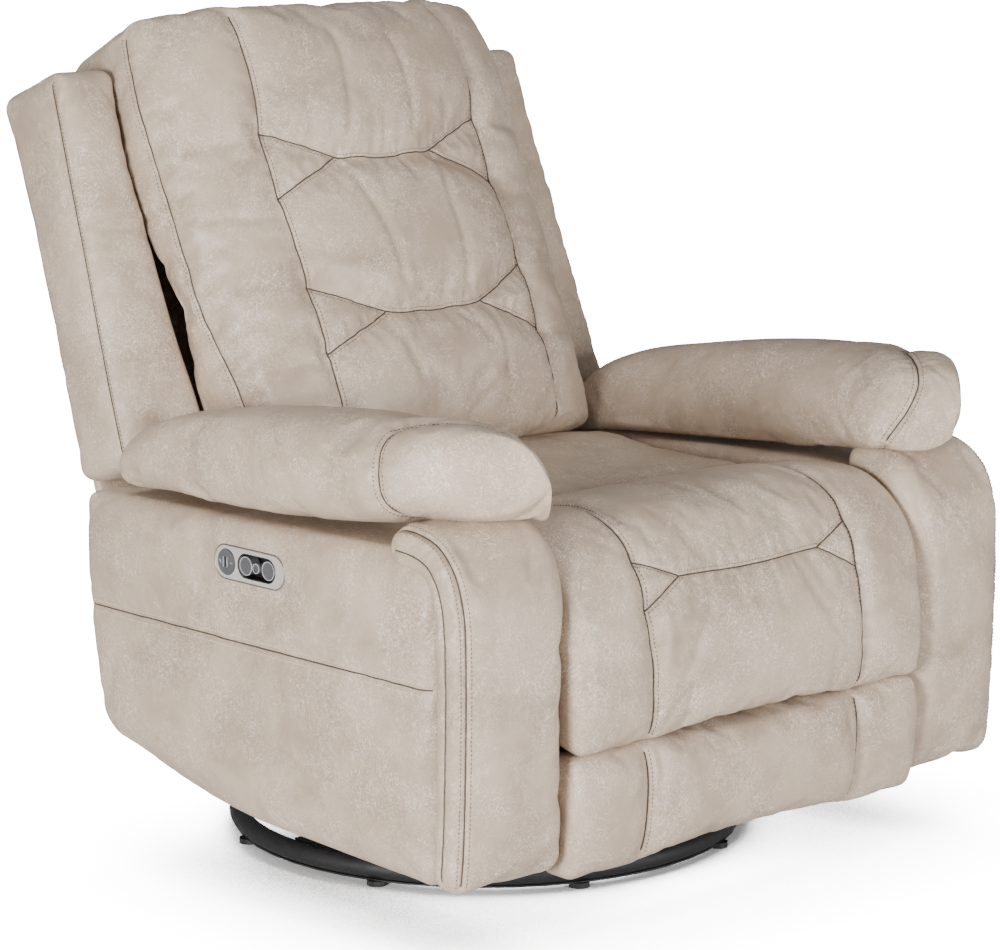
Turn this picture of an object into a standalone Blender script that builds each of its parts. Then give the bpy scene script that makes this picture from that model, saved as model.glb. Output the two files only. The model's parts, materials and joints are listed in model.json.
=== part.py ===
"""Power swivel glider recliner, as an assembly of separate solids.

Metres, +Z up. The sitter faces -Y, so the sitter's left arm is at +X. The pieces are drawn
about the swivel's axis, then moved so that the footprint's middle is at the origin. Run it with
blender --background --python part.py.
"""

import math

import bmesh
import bpy
from mathutils import Matrix, Vector

# ---------------------------------------------------------------- driving sizes
SEAT_WIDTH = 0.608        # between the two arm boxes
ARM_WIDTH = 0.160         # one arm box, inner face to outer face
SKIRT_HEIGHT = 0.092      # floor to the lowest edge of the upholstery
ARM_TOP_REAR = 0.475      # height of the arm box at its rear
ARM_TOP_FRONT = 0.497     # height of the arm box under the front of the pillow
FRONT_PAD_DEPTH = 0.062   # how far the arm's front pad stands out
FRONT_PAD_FLARE = 0.011   # and how far past the arm box's outer face
PILLOW_DEPTH = 0.104      # thickness of the arm pillow
PILLOW_NOSE = 0.082       # how far the arm pillow runs past the arm box
SEAT_TOP = 0.479
SEAT_DEPTH = 0.452        # seat cushion, front to rear
SEAT_MIDDLE = -0.146      # y of the seat cushion's middle, the swivel's axis being at 0
SEAT_BEHIND_ARM = 0.038   # arm box's front edge to the seat cushion
AXLE_BEHIND_SEAT = 0.090  # seat cushion to the recline axle
ARM_PAST_AXLE = 0.062     # recline axle to the arm box's rear edge
SEAT_PAD = 0.075          # seat cushion's thickness
LEGREST_LENGTH = 0.287    # top edge of the upper pad to the bottom edge of the lower one
LEGREST_SPLIT = 0.145     # height of the lower pad with its channel
LEGREST_PAD = 0.070
LEGREST_OPENING = 85.0    # degrees, folded to fully up
BACK_TILT = 20.0          # degrees from upright, at rest
BACK_LENGTH = 0.667       # recline axle to the top of the head cushion
HEAD_HINGE = 0.450        # recline axle to the headrest's hinge
BACK_PAD = 0.150          # back cushion's thickness
BACK_PLAY = 0.002         # back cushion to the plane of the arm box, each side
WING_WIDTH_LOW = 0.144    # wing's width at its foot
WING_WIDTH_TOP = 0.099
WING_FOOT = 0.095         # recline axle to the foot of the wing
WING_TOP = 0.590
WING_FRONT = 0.020        # wing's front face, ahead of the back's own plane
HEAD_TILT = 30.0          # degrees the headrest can come forward
RECLINE = 40.0            # degrees the back can go down
RING_RADIUS = 0.3225      # base ring, axis to the middle of its tube
RING_TUBE = 0.0125        # radius of the base ring's tube
FOOT_HEIGHT = 0.008
FOOT_COUNT = 8
LINK_LENGTH = 0.100       # glider link, pivot to pivot
LINK_INSET = 0.152        # seat cushion's depth less the links' spacing
GLIDER_HALF = 0.200       # x of the inner face of the glider stands
SHEET = 0.005             # steel plate of links, side plates and brackets
STAND_SHEET = 0.006
AXLE = 0.0052             # radius of the glider's axles
BOARD = 0.012             # plywood of the legrest and the headrest
RAIL = 0.025              # timber of the seat and back frames
PANEL_LENGTH = 0.130      # control panel in the right arm
PANEL_HEIGHT = 0.042

# ---------------------------------------------------------------- clearances
TOUCH = 0.0003            # between pieces that are fastened together
RUN = 0.0020              # between plates that pass each other
BORE_PLAY = 0.0006        # a bore's radius over its axle's
SOFT_GAP = 0.0040         # between upholstered pieces

# ---------------------------------------------------------------- derived places
ARM_INNER = SEAT_WIDTH / 2
ARM_OUTER = ARM_INNER + ARM_WIDTH
TILT = math.radians(BACK_TILT)
RING_HEIGHT = FOOT_HEIGHT + RING_TUBE
CROSS_HALF_HEIGHT = 0.010
CROSS_TOP = RING_HEIGHT + CROSS_HALF_HEIGHT
LOWER_RACE_TOP = CROSS_TOP + TOUCH + 0.009
UPPER_RACE_FOOT = LOWER_RACE_TOP + 0.0015
UPPER_RACE_TOP = UPPER_RACE_FOOT + 0.0085
PLATE_FOOT = UPPER_RACE_TOP + TOUCH
PLATE_TOP = PLATE_FOOT + 0.004
STAND_FOOT = PLATE_TOP + TOUCH
LINK_LOW = 0.125                       # height of the links' lower pivots
LINK_HIGH = LINK_LOW + LINK_LENGTH
LINK_Y = (SEAT_DEPTH - LINK_INSET) / 2
LINK_X = GLIDER_HALF + STAND_SHEET + RUN
SIDE_PLATE_X = LINK_X + SHEET + RUN + 0.0015
SIDE_RAIL_X = SIDE_PLATE_X + SHEET + 0.001
SEAT_BOTTOM = SEAT_TOP - SEAT_PAD
SPRING_WIRE = 0.002
RAIL_TOP = SEAT_BOTTOM - 2 * SPRING_WIRE - 0.003
RAIL_FOOT = RAIL_TOP - 0.060
FRONT_RAIL_FOOT = RAIL_TOP - 0.043
SEAT_FRONT = SEAT_MIDDLE - SEAT_DEPTH / 2
ARM_FRONT = SEAT_FRONT - SEAT_BEHIND_ARM
RAIL_FRONT = SEAT_FRONT - 0.003
SEAT_REAR = SEAT_FRONT + SEAT_DEPTH
REAR_RAIL = SEAT_REAR + 0.015
RECLINE_AT = Vector((0, SEAT_REAR + AXLE_BEHIND_SEAT, SEAT_TOP - 0.079))
ARM_REAR = RECLINE_AT.y + ARM_PAST_AXLE
SKIRT_Y = ARM_REAR - 0.027
LEGREST_AT = Vector((0, RAIL_FRONT - 0.050, SEAT_TOP - 0.054))
ROLL_RADIUS = 0.0497
PAD_TOP = LEGREST_AT.z - ROLL_RADIUS - 0.0006
PAD_BOTTOM = PAD_TOP - LEGREST_LENGTH
PAD_BACK = LEGREST_AT.y + 0.0167
PAD_FACE = PAD_BACK - LEGREST_PAD
BOARD_FACE = PAD_BACK + TOUCH
BOARD_REAR = BOARD_FACE + BOARD
HORN = Vector((0, LEGREST_AT.y + 0.060, LEGREST_AT.z - 0.090))


def rounded(points, steps=4):
    """A closed outline from (u, v, radius) corners, each rounded by an arc of that radius."""
    outline = []
    for i, (u, v, radius) in enumerate(points):
        here = Vector((u, v))
        if radius <= 0:
            outline.append((u, v))
            continue
        before = Vector(points[i - 1][:2]) - here
        after = Vector(points[(i + 1) % len(points)][:2]) - here
        half = before.angle(after) / 2
        reach = min(radius / math.tan(half), 0.49 * before.length, 0.49 * after.length)
        radius = reach * math.tan(half)
        start = here + before.normalized() * reach
        end = here + after.normalized() * reach
        middle = here + (before.normalized() + after.normalized()).normalized() * (radius / math.sin(half))
        first = start - middle
        sweep = first.angle_signed(end - middle)
        for k in range(steps + 1):
            turned = first.copy()
            turned.rotate(Matrix.Rotation(-sweep * k / steps, 2))
            outline.append(tuple(middle + turned))
    return outline


def circle(u, v, radius, count=16, phase=0.0):
    """Points of a circle about (u, v), anticlockwise."""
    return [
        (u + radius * math.cos(2 * math.pi * (k + phase) / count),
         v + radius * math.sin(2 * math.pi * (k + phase) / count))
        for k in range(count)
    ]


def slot_shape(a, b, radius, steps=8):
    """An outline with round ends about the points a and b."""
    along = math.atan2(b[1] - a[1], b[0] - a[0])
    shape = []
    for centre, start in ((a, along + math.pi / 2), (b, along - math.pi / 2)):
        for k in range(steps + 1):
            angle = start + math.pi * k / steps
            shape.append((centre[0] + radius * math.cos(angle), centre[1] + radius * math.sin(angle)))
    return shape


# Local (u, v, depth) of an outline, as world axes: a plate across X is drawn in Y and Z.
ACROSS = {
    "X": Matrix(((0, 0, 1, 0), (1, 0, 0, 0), (0, 1, 0, 0), (0, 0, 0, 1))),
    "Y": Matrix(((1, 0, 0, 0), (0, 0, -1, 0), (0, 1, 0, 0), (0, 0, 0, 1))),
    "Z": Matrix.Identity(4),
}


def material(name, colour, roughness, metallic=0.0):
    made = bpy.data.materials.new(name)
    made.use_nodes = True
    shader = made.node_tree.nodes["Principled BSDF"]
    shader.inputs["Base Color"].default_value = (*colour, 1.0)
    shader.inputs["Roughness"].default_value = roughness
    shader.inputs["Metallic"].default_value = metallic
    return made


def fixed_to(piece, axis):
    """Parents a piece to the empty on its joint's axis, leaving it where it is."""
    if axis is not None:
        bpy.context.view_layer.update()
        piece.parent = axis
        piece.matrix_parent_inverse = axis.matrix_world.inverted()
    return piece


def joint_axis(name, place, tilt=0.0):
    """An empty on a joint's axis. A tilted one carries pieces drawn in its own frame."""
    empty = bpy.data.objects.new(name, None)
    empty.location = place
    empty.rotation_euler = (tilt, 0, 0)
    bpy.context.collection.objects.link(empty)
    return empty


def add_object(name, data, finish, axis=None, frame=None):
    """Links an object. With a frame, the piece is drawn in that empty's own frame."""
    piece = bpy.data.objects.new(name, data)
    data.materials.append(finish)
    bpy.context.collection.objects.link(piece)
    if frame is not None:
        piece.parent = frame
        return piece
    return fixed_to(piece, axis)


def plate(name, outline, low, high, finish, across="X", holes=(), **home):
    """A flat plate with round or shaped holes: a filled and extruded 2D curve."""
    curve = bpy.data.curves.new(name, "CURVE")
    curve.dimensions = "2D"
    curve.fill_mode = "BOTH"
    curve.extrude = (high - low) / 2
    for loop in (outline, *holes):
        spline = curve.splines.new("POLY")
        spline.points.add(len(loop) - 1)
        for point, (u, v) in zip(spline.points, loop):
            point.co = (u, v, 0, 1)
        spline.use_cyclic_u = True
    piece = bpy.data.objects.new(name, curve)
    curve.materials.append(finish)
    bpy.context.collection.objects.link(piece)
    turn = ACROSS[across] @ Matrix.Translation((0, 0, (low + high) / 2))
    frame = home.get("frame")
    piece.matrix_local = turn
    if frame is not None:
        piece.parent = frame
        piece.matrix_local = turn
        return piece
    return fixed_to(piece, home.get("axis"))


def block(outline, low, high, across="X"):
    """A bmesh prism of an outline."""
    shape = bmesh.new()
    turn = ACROSS[across]
    face = shape.faces.new([shape.verts.new(turn @ Vector((u, v, low))) for u, v in outline])
    grown = bmesh.ops.extrude_face_region(shape, geom=[face])
    depth = turn.to_3x3() @ Vector((0, 0, high - low))
    moved = [v for v in grown["geom"] if isinstance(v, bmesh.types.BMVert)]
    bmesh.ops.translate(shape, vec=depth, verts=moved)
    bmesh.ops.recalc_face_normals(shape, faces=shape.faces)
    return shape


def as_mesh(name, shape):
    mesh = bpy.data.meshes.new(name)
    shape.to_mesh(mesh)
    shape.free()
    return mesh


def padding(name, outline, low, high, finish, soften=0.02, across="X", segments=2, **home):
    """An upholstered piece: a prism of its outline with soft edges."""
    piece = add_object(name, as_mesh(name, block(outline, low, high, across)), finish, **home)
    bevel = piece.modifiers.new("soft_edges", "BEVEL")
    bevel.width = soften
    bevel.segments = segments
    bevel.limit_method = "ANGLE"
    bevel.angle_limit = math.radians(50)
    bevel.use_clamp_overlap = True
    return piece


def cuboid(low, high):
    (x0, y0, z0), (x1, y1, z1) = low, high
    return block([(x0, y0), (x1, y0), (x1, y1), (x0, y1)], z0, z1, "Z")


def rod(radius, start, end, count=12):
    """A bmesh cylinder from one point to another."""
    start, end = Vector(start), Vector(end)
    shape = bmesh.new()
    turn = (end - start).to_track_quat("Z", "Y").to_matrix().to_4x4()
    bmesh.ops.create_cone(
        shape, cap_ends=True, segments=count, radius1=radius, radius2=radius,
        depth=(end - start).length, matrix=Matrix.Translation((start + end) / 2) @ turn,
    )
    return shape


def joined(name, shapes, finish, cuts=(), **home):
    """One solid from overlapping bmesh shapes, less the cuts, by Boolean operations."""
    piece = add_object(name, as_mesh(name, shapes[0]), finish, **home)
    jobs = [(s, "UNION") for s in shapes[1:]] + [(s, "DIFFERENCE") for s in cuts]
    for number, (shape, operation) in enumerate(jobs):
        helper = bpy.data.objects.new(f"{name}_tool_{number}", as_mesh(f"{name}_tool_{number}", shape))
        helper.hide_render = True
        helper.display_type = "WIRE"
        bpy.context.collection.objects.link(helper)
        if home.get("frame") is not None:
            helper.parent = home["frame"]
        change = piece.modifiers.new(operation.lower(), "BOOLEAN")
        change.operation = operation
        change.object = helper
        change.solver = "EXACT"
    return piece


def ring(radius, tube, height, around=40, section=8):
    """A bmesh torus about Z."""
    shape = bmesh.new()
    loops = []
    for i in range(around):
        turn = 2 * math.pi * i / around
        loop = []
        for u, v in circle(radius, height, tube, section, 0.5):
            loop.append(shape.verts.new((u * math.cos(turn), u * math.sin(turn), v)))
        loops.append(loop)
    for i, loop in enumerate(loops):
        after = loops[(i + 1) % around]
        for k in range(section):
            m = (k + 1) % section
            shape.faces.new((loop[k], after[k], after[m], loop[m]))
    bmesh.ops.recalc_face_normals(shape, faces=shape.faces)
    return shape


def sides():
    """Each side's name and the sign of its x: the sitter's left is +X."""
    return (("left", 1), ("right", -1))


def span(side, near, far):
    """(low, high) in x of a piece between two distances from the middle, on one side."""
    return (near, far) if side > 0 else (-far, -near)


for leftover in list(bpy.data.objects):
    bpy.data.objects.remove(leftover)

LEATHER = material("leather", (0.50, 0.42, 0.34), 0.5)
BLACK_STEEL = material("black_steel", (0.02, 0.02, 0.022), 0.4, 0.6)
ZINC = material("zinc_plated_steel", (0.55, 0.56, 0.58), 0.35, 1.0)
TIMBER = material("plywood", (0.62, 0.45, 0.27), 0.7)
SATIN = material("satin_metal", (0.78, 0.75, 0.70), 0.3, 0.9)
DARK_PLASTIC = material("dark_plastic", (0.05, 0.05, 0.055), 0.45)
GREY_PLASTIC = material("grey_plastic", (0.18, 0.18, 0.19), 0.4)

swivel_axis = joint_axis("swivel_axis", (0, 0, LOWER_RACE_TOP))
front_link_axis = joint_axis("front_link_axis", (0, -LINK_Y, LINK_HIGH))
rear_link_axis = joint_axis("rear_link_axis", (0, LINK_Y, LINK_HIGH))
chair_axis = joint_axis("chair_axis", (0, -LINK_Y, LINK_LOW))
recline_axis = joint_axis("recline_axis", RECLINE_AT, -TILT)
legrest_axis = joint_axis("legrest_axis", LEGREST_AT)


# ---------------------------------------------------------------- base on the floor
def make_base():
    add_object("base_ring", as_mesh("base_ring", ring(RING_RADIUS, RING_TUBE, RING_HEIGHT)), BLACK_STEEL)

    strip_half = 0.006
    strip_top = FOOT_HEIGHT - TOUCH
    strip_foot = strip_top - 0.0020
    strip = block(circle(0, 0, RING_RADIUS + strip_half, 48), strip_foot, strip_top, "Z")
    feet = [
        rod(0.013, (x, y, 0), (x, y, strip_foot + 0.001))
        for x, y in circle(0, 0, RING_RADIUS, FOOT_COUNT, 0.5)
    ]
    middle = block(circle(0, 0, RING_RADIUS - strip_half, 48), -0.01, FOOT_HEIGHT + 0.01, "Z")
    keep_feet = joined("foot_glide_ring", [strip], DARK_PLASTIC, cuts=[middle])
    for number, foot in enumerate(feet):
        helper = bpy.data.objects.new(f"foot_{number}", as_mesh(f"foot_{number}", foot))
        helper.hide_render = True
        helper.display_type = "WIRE"
        bpy.context.collection.objects.link(helper)
        weld = keep_feet.modifiers.new("foot", "BOOLEAN")
        weld.operation = "UNION"
        weld.object = helper
        weld.solver = "EXACT"

    reach = RING_RADIUS - RING_TUBE - TOUCH
    half = 0.020
    cross = [
        (reach, -half), (reach, half), (half, half), (half, reach), (-half, reach), (-half, half),
        (-reach, half), (-reach, -half), (-half, -half), (-half, -reach), (half, -reach), (half, -half),
    ]
    # The arms' square ends stay inside the ring's round bore.
    cross = [(u * 0.997, v * 0.997) for u, v in cross]
    plate("base_cross", cross, RING_HEIGHT - CROSS_HALF_HEIGHT, CROSS_TOP, BLACK_STEEL, "Z")
    plate("swivel_lower_race", circle(0, 0, 0.115, 32), CROSS_TOP + TOUCH, LOWER_RACE_TOP, ZINC, "Z",
          [circle(0, 0, 0.0125)])


# ---------------------------------------------------------------- turntable and glider stands
def make_turntable():
    home = {"axis": swivel_axis}
    plate("swivel_upper_race", circle(0, 0, 0.105, 32), UPPER_RACE_FOOT, UPPER_RACE_TOP, ZINC, "Z",
          [circle(0, 0, 0.0125)], **home)
    plate_half = GLIDER_HALF + STAND_SHEET + 0.004
    corners = [(plate_half, -0.12, 0.02), (plate_half, 0.12, 0.02),
               (-plate_half, 0.12, 0.02), (-plate_half, -0.12, 0.02)]
    plate("turntable_plate", rounded(corners), PLATE_FOOT, PLATE_TOP, BLACK_STEEL, "Z",
          [circle(0, 0, 0.0125)], **home)
    shank = rod(0.0100, (0, 0, CROSS_TOP + 0.001), (0, 0, PLATE_TOP + 0.004), 12)
    head = rod(0.0180, (0, 0, PLATE_TOP + TOUCH), (0, 0, PLATE_TOP + 0.010), 6)
    joined("swivel_bolt", [shank, head], ZINC, **home)

    column = LINK_Y - 0.060
    bar_end = LINK_Y + 0.022
    foot = LINK_Y + 0.040
    stand = [
        (-foot, STAND_FOOT), (foot, STAND_FOOT), (foot, STAND_FOOT + 0.026), (column, STAND_FOOT + 0.034),
        (column, LINK_HIGH - 0.030), (bar_end, LINK_HIGH - 0.018), (bar_end, LINK_HIGH + 0.018),
        (-bar_end, LINK_HIGH + 0.018), (-bar_end, LINK_HIGH - 0.018), (-column, LINK_HIGH - 0.030),
        (-column, STAND_FOOT + 0.034), (-foot, STAND_FOOT + 0.026),
    ]
    window_top = LINK_HIGH - 0.035
    window_foot = STAND_FOOT + 0.045
    pane = column / 2
    window = rounded([(-pane, window_foot, 0.012), (pane, window_foot, 0.012),
                      (pane, window_top, 0.012), (-pane, window_top, 0.012)], 3)
    bores = [circle(y, LINK_HIGH, AXLE + BORE_PLAY) for y in (-LINK_Y, LINK_Y)]
    for name, side in sides():
        low, high = span(side, GLIDER_HALF, GLIDER_HALF + STAND_SHEET)
        plate(f"glider_stand_{name}", stand, low, high, BLACK_STEEL, "X", [*bores, window], **home)
    for name, y in (("front", -LINK_Y - 0.015), ("rear", LINK_Y + 0.015)):
        tube = rounded([(y - 0.011, STAND_FOOT + 0.003, 0.003), (y + 0.011, STAND_FOOT + 0.003, 0.003),
                        (y + 0.011, STAND_FOOT + 0.023, 0.003), (y - 0.011, STAND_FOOT + 0.023, 0.003)], 2)
        bore = rounded([(y - 0.009, STAND_FOOT + 0.005, 0.002), (y + 0.009, STAND_FOOT + 0.005, 0.002),
                        (y + 0.009, STAND_FOOT + 0.021, 0.002), (y - 0.009, STAND_FOOT + 0.021, 0.002)], 2)
        reach = GLIDER_HALF - TOUCH
        plate(f"glider_cross_tube_{name}", tube, -reach, reach, BLACK_STEEL, "X", [bore], **home)
    axle_reach = LINK_X + SHEET + 0.0015
    for name, y in (("front", -LINK_Y), ("rear", LINK_Y)):
        shape = rod(AXLE, (-axle_reach, y, LINK_HIGH), (axle_reach, y, LINK_HIGH))
        add_object(f"glider_axle_{name}", as_mesh(f"glider_axle_{name}", shape), ZINC, **home)


def make_links():
    for end, y, axis in (("front", -LINK_Y, front_link_axis), ("rear", LINK_Y, rear_link_axis)):
        shape = slot_shape((y, LINK_LOW), (y, LINK_HIGH), 0.014)
        bores = [circle(y, z, AXLE + BORE_PLAY) for z in (LINK_LOW, LINK_HIGH)]
        for name, side in sides():
            low, high = span(side, LINK_X, LINK_X + SHEET)
            plate(f"swing_link_{end}_{name}", shape, low, high, ZINC, "X", bores, axis=axis)


# ---------------------------------------------------------------- seat mechanism and timber
def make_seat_frame():
    home = {"axis": chair_axis}
    ear = RECLINE_AT
    plate_top = RAIL_FOOT - 0.001
    front = RAIL_FRONT + 0.040
    side_plate = rounded([
        (-LINK_Y - 0.040, LINK_LOW - 0.017, 0.01), (LINK_Y + 0.040, LINK_LOW - 0.017, 0.01),
        (LINK_Y + 0.040, LINK_HIGH + 0.01, 0.02), (ear.y + 0.022, ear.z - 0.01, 0.01),
        (ear.y + 0.012, ear.z + 0.018, 0.012), (ear.y - 0.020, ear.z + 0.018, 0.012),
        (REAR_RAIL + RAIL + 0.004, plate_top, 0.004), (front, plate_top, 0.01),
        (front, plate_top - 0.050, 0.01), (-LINK_Y - 0.040, LINK_HIGH - 0.02, 0.02),
    ], 3)
    lighten = rounded([(-0.048, LINK_LOW + 0.045, 0.015), (0.048, LINK_LOW + 0.045, 0.015),
                       (0.048, LINK_LOW + 0.140, 0.015), (-0.048, LINK_LOW + 0.140, 0.015)], 3)
    holes = [circle(y, LINK_LOW, AXLE + BORE_PLAY / 2) for y in (-LINK_Y, LINK_Y)]
    holes += [circle(ear.y, ear.z, 0.0072), lighten]
    for name, side in sides():
        low, high = span(side, SIDE_PLATE_X, SIDE_PLATE_X + SHEET)
        plate(f"mechanism_plate_{name}", side_plate, low, high, BLACK_STEEL, "X", holes, **home)
    reach = SIDE_PLATE_X + SHEET + 0.002
    for name, y in (("front", -LINK_Y), ("rear", LINK_Y)):
        shape = rod(AXLE, (-reach, y, LINK_LOW), (reach, y, LINK_LOW))
        add_object(f"link_axle_{name}", as_mesh(f"link_axle_{name}", shape), ZINC, **home)
    reach = SIDE_PLATE_X + 2 * SHEET + RUN + 0.003
    shape = rod(0.0065, (-reach, ear.y, ear.z), (reach, ear.y, ear.z))
    add_object("recline_axle", as_mesh("recline_axle", shape), ZINC, **home)

    wide = ARM_INNER - TOUCH
    rails = [
        cuboid((-wide, RAIL_FRONT, FRONT_RAIL_FOOT), (wide, RAIL_FRONT + 0.030, RAIL_TOP)),
        cuboid((-wide, REAR_RAIL, RAIL_FOOT), (wide, REAR_RAIL + RAIL, RAIL_TOP)),
    ]
    for _, side in sides():
        low, high = span(side, SIDE_RAIL_X, SIDE_RAIL_X + RAIL)
        rails.append(cuboid((low, RAIL_FRONT + 0.015, RAIL_FOOT), (high, REAR_RAIL + 0.01, RAIL_TOP)))
    joined("seat_frame", rails, TIMBER, **home)
    make_springs(home)


def make_springs(home):
    """Four zigzag springs and two stay wires, clipped on top of the rails."""
    height = RAIL_TOP + SPRING_WIRE + 0.001
    start, end = RAIL_FRONT + 0.010, REAR_RAIL + RAIL - 0.008
    waves, swing = 7, 0.024
    wires = []
    for x in (-0.180, -0.062, 0.062, 0.180):
        points = []
        for k in range(waves * 4 + 1):
            bend = swing * math.sin(math.pi * k / 2)
            points.append(Vector((x + bend, start + (end - start) * k / (waves * 4), height)))
        wires.append(points)
    for share in (0.36, 0.64):
        y = start + (end - start) * share
        wires.append([Vector((-0.205, y, height)), Vector((0.205, y, height))])
    joined("seat_springs", [wire_shape(w, SPRING_WIRE) for w in wires], ZINC, **home)


def wire_shape(points, radius, section=4):
    """A square wire along points that lie at one height."""
    shape = bmesh.new()
    loops = []
    for i, point in enumerate(points):
        before = points[max(i - 1, 0)]
        after = points[min(i + 1, len(points) - 1)]
        across = (after - before).cross(Vector((0, 0, 1))).normalized()
        loop = []
        for u, v in circle(0, 0, radius, section, 0.5):
            loop.append(shape.verts.new(point + across * u + Vector((0, 0, v))))
        loops.append(loop)
    for loop, after in zip(loops, loops[1:]):
        for k in range(section):
            m = (k + 1) % section
            shape.faces.new((loop[k], loop[m], after[m], after[k]))
    shape.faces.new(loops[0][::-1])
    shape.faces.new(loops[-1])
    bmesh.ops.recalc_face_normals(shape, faces=shape.faces)
    return shape


# ---------------------------------------------------------------- seat, roll and skirt
def make_seat():
    home = {"axis": chair_axis}
    half = ARM_INNER - 2 * SOFT_GAP
    outline = rounded([
        (SEAT_FRONT, SEAT_BOTTOM, 0), (SEAT_REAR, SEAT_BOTTOM, 0.01),
        (SEAT_REAR, SEAT_TOP - 0.006, 0.03), (SEAT_FRONT, SEAT_TOP, 0),
    ], 3)
    padding("seat_cushion", outline, -half, half, LEATHER, 0.015, **home)

    # The nose turns round the legrest's axis, so the legrest's pad clears it as it comes up.
    centre_y, centre_z = LEGREST_AT.y, LEGREST_AT.z
    nose = [(centre_y + ROLL_RADIUS * math.cos(a), centre_z + ROLL_RADIUS * math.sin(a))
            for a in (math.radians(d) for d in (180, 205, 225, 247, 270))]
    rear = RAIL_FRONT - 0.0007
    roll = [(rear, nose[-1][1]), (rear, SEAT_TOP), (centre_y + 0.030, SEAT_TOP),
            (centre_y - 0.005, SEAT_TOP - 0.009), (centre_y - 0.033, SEAT_TOP - 0.030), *nose]
    hinge_near = ARM_INNER - 0.047
    padding("seat_front_roll", roll, -hinge_near + 0.004, hinge_near - 0.004, LEATHER, 0.004,
            segments=1, **home)

    skirt = rounded([(SKIRT_Y, SKIRT_HEIGHT + 0.045, 0.004), (SKIRT_Y + 0.016, SKIRT_HEIGHT + 0.045, 0.004),
                     (SKIRT_Y + 0.016, RAIL_FOOT - 0.015, 0.004), (SKIRT_Y, RAIL_FOOT - 0.015, 0.004)], 2)
    wide = ARM_INNER - TOUCH
    plate("rear_skirt_panel", skirt, -wide, wide, LEATHER, "X", **home)


# ---------------------------------------------------------------- arms
def arm_box_outline():
    sill = SKIRT_HEIGHT
    step = ARM_TOP_FRONT - 0.0325
    hook = ARM_FRONT + 0.077
    return rounded([
        (ARM_FRONT, sill, 0), (ARM_FRONT + 0.31, sill + 0.006, 0.10), (ARM_REAR - 0.142, sill + 0.039, 0.10),
        (ARM_REAR - 0.067, sill + 0.058, 0.03), (ARM_REAR - 0.004, sill + 0.208, 0.10),
        (ARM_REAR, ARM_TOP_REAR, 0.035), (hook, ARM_TOP_FRONT, 0), (hook, step, 0),
        (ARM_FRONT, step, 0.035),
    ])


def front_pad_outline():
    face = ARM_FRONT - FRONT_PAD_DEPTH
    rear = ARM_FRONT - TOUCH
    hook = ARM_FRONT + 0.0765
    step = ARM_TOP_FRONT - 0.0322
    top = ARM_TOP_FRONT + 0.010
    return rounded([
        (rear, SKIRT_HEIGHT, 0), (rear, step, 0.035), (hook, step, 0.008), (hook, top - 0.002, 0.010),
        (face + 0.003, top + 0.002, 0.075), (face, SKIRT_HEIGHT + 0.20, 0.3),
        (face + 0.007, SKIRT_HEIGHT, 0.025),
    ])


def pillow_outline():
    rear = ARM_REAR - 0.062
    nose = ARM_FRONT - PILLOW_NOSE
    hook = ARM_FRONT + 0.06
    top = ARM_TOP_FRONT + PILLOW_DEPTH
    foot = ARM_TOP_FRONT + 0.0135
    return rounded([
        (rear, ARM_TOP_REAR + 0.0065, 0.015), (rear, ARM_TOP_REAR + 0.078, 0.045), (0.0, top - 0.010, 0.3),
        (hook - 0.02, top + 0.008, 0.10), (nose, top - 0.012, 0.06), (nose, foot + 0.008, 0.03),
        (hook, foot, 0.05),
    ])


def make_arms():
    home = {"axis": chair_axis}
    for name, side in sides():
        low, high = span(side, ARM_INNER, ARM_OUTER)
        box = block(arm_box_outline(), low, high)
        if name == "right":
            joined("arm_box_right", [box], LEATHER, cuts=[panel_pocket()], **home)
        else:
            joined("arm_box_left", [box], LEATHER, **home)
        low, high = span(side, ARM_INNER, ARM_OUTER + FRONT_PAD_FLARE)
        padding(f"arm_front_pad_{name}", front_pad_outline(), low, high, LEATHER, 0.018, **home)
        low, high = span(side, ARM_INNER - 0.014, ARM_OUTER + 0.014)
        padding(f"arm_pillow_{name}", pillow_outline(), low, high, LEATHER, 0.035, segments=3, **home)


# ---------------------------------------------------------------- control panel
PANEL_Y = ARM_FRONT + 0.317
PANEL_Z = ARM_TOP_FRONT - 0.081
PANEL_SHEET = 0.003
POCKET_DEPTH = 0.032
USB_Y = PANEL_Y + PANEL_LENGTH / 2 - 0.023
USB_RADIUS = 0.0155
KEYS_Y = PANEL_Y - 0.0135
KEYS_HALF = 0.0345
KEYS_HEIGHT = 0.0145
KEY_RADIUS = 0.0118
ROCKER_SHIFT = 0.0205


def panel_pocket():
    half = PANEL_LENGTH / 2 - 0.006
    tall = PANEL_HEIGHT / 2 - 0.004
    outline = [(PANEL_Y - half, PANEL_Z - tall), (PANEL_Y + half, PANEL_Z - tall),
               (PANEL_Y + half, PANEL_Z + tall), (PANEL_Y - half, PANEL_Z + tall)]
    return block(outline, -ARM_OUTER - 0.01, -ARM_OUTER + POCKET_DEPTH)


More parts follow.
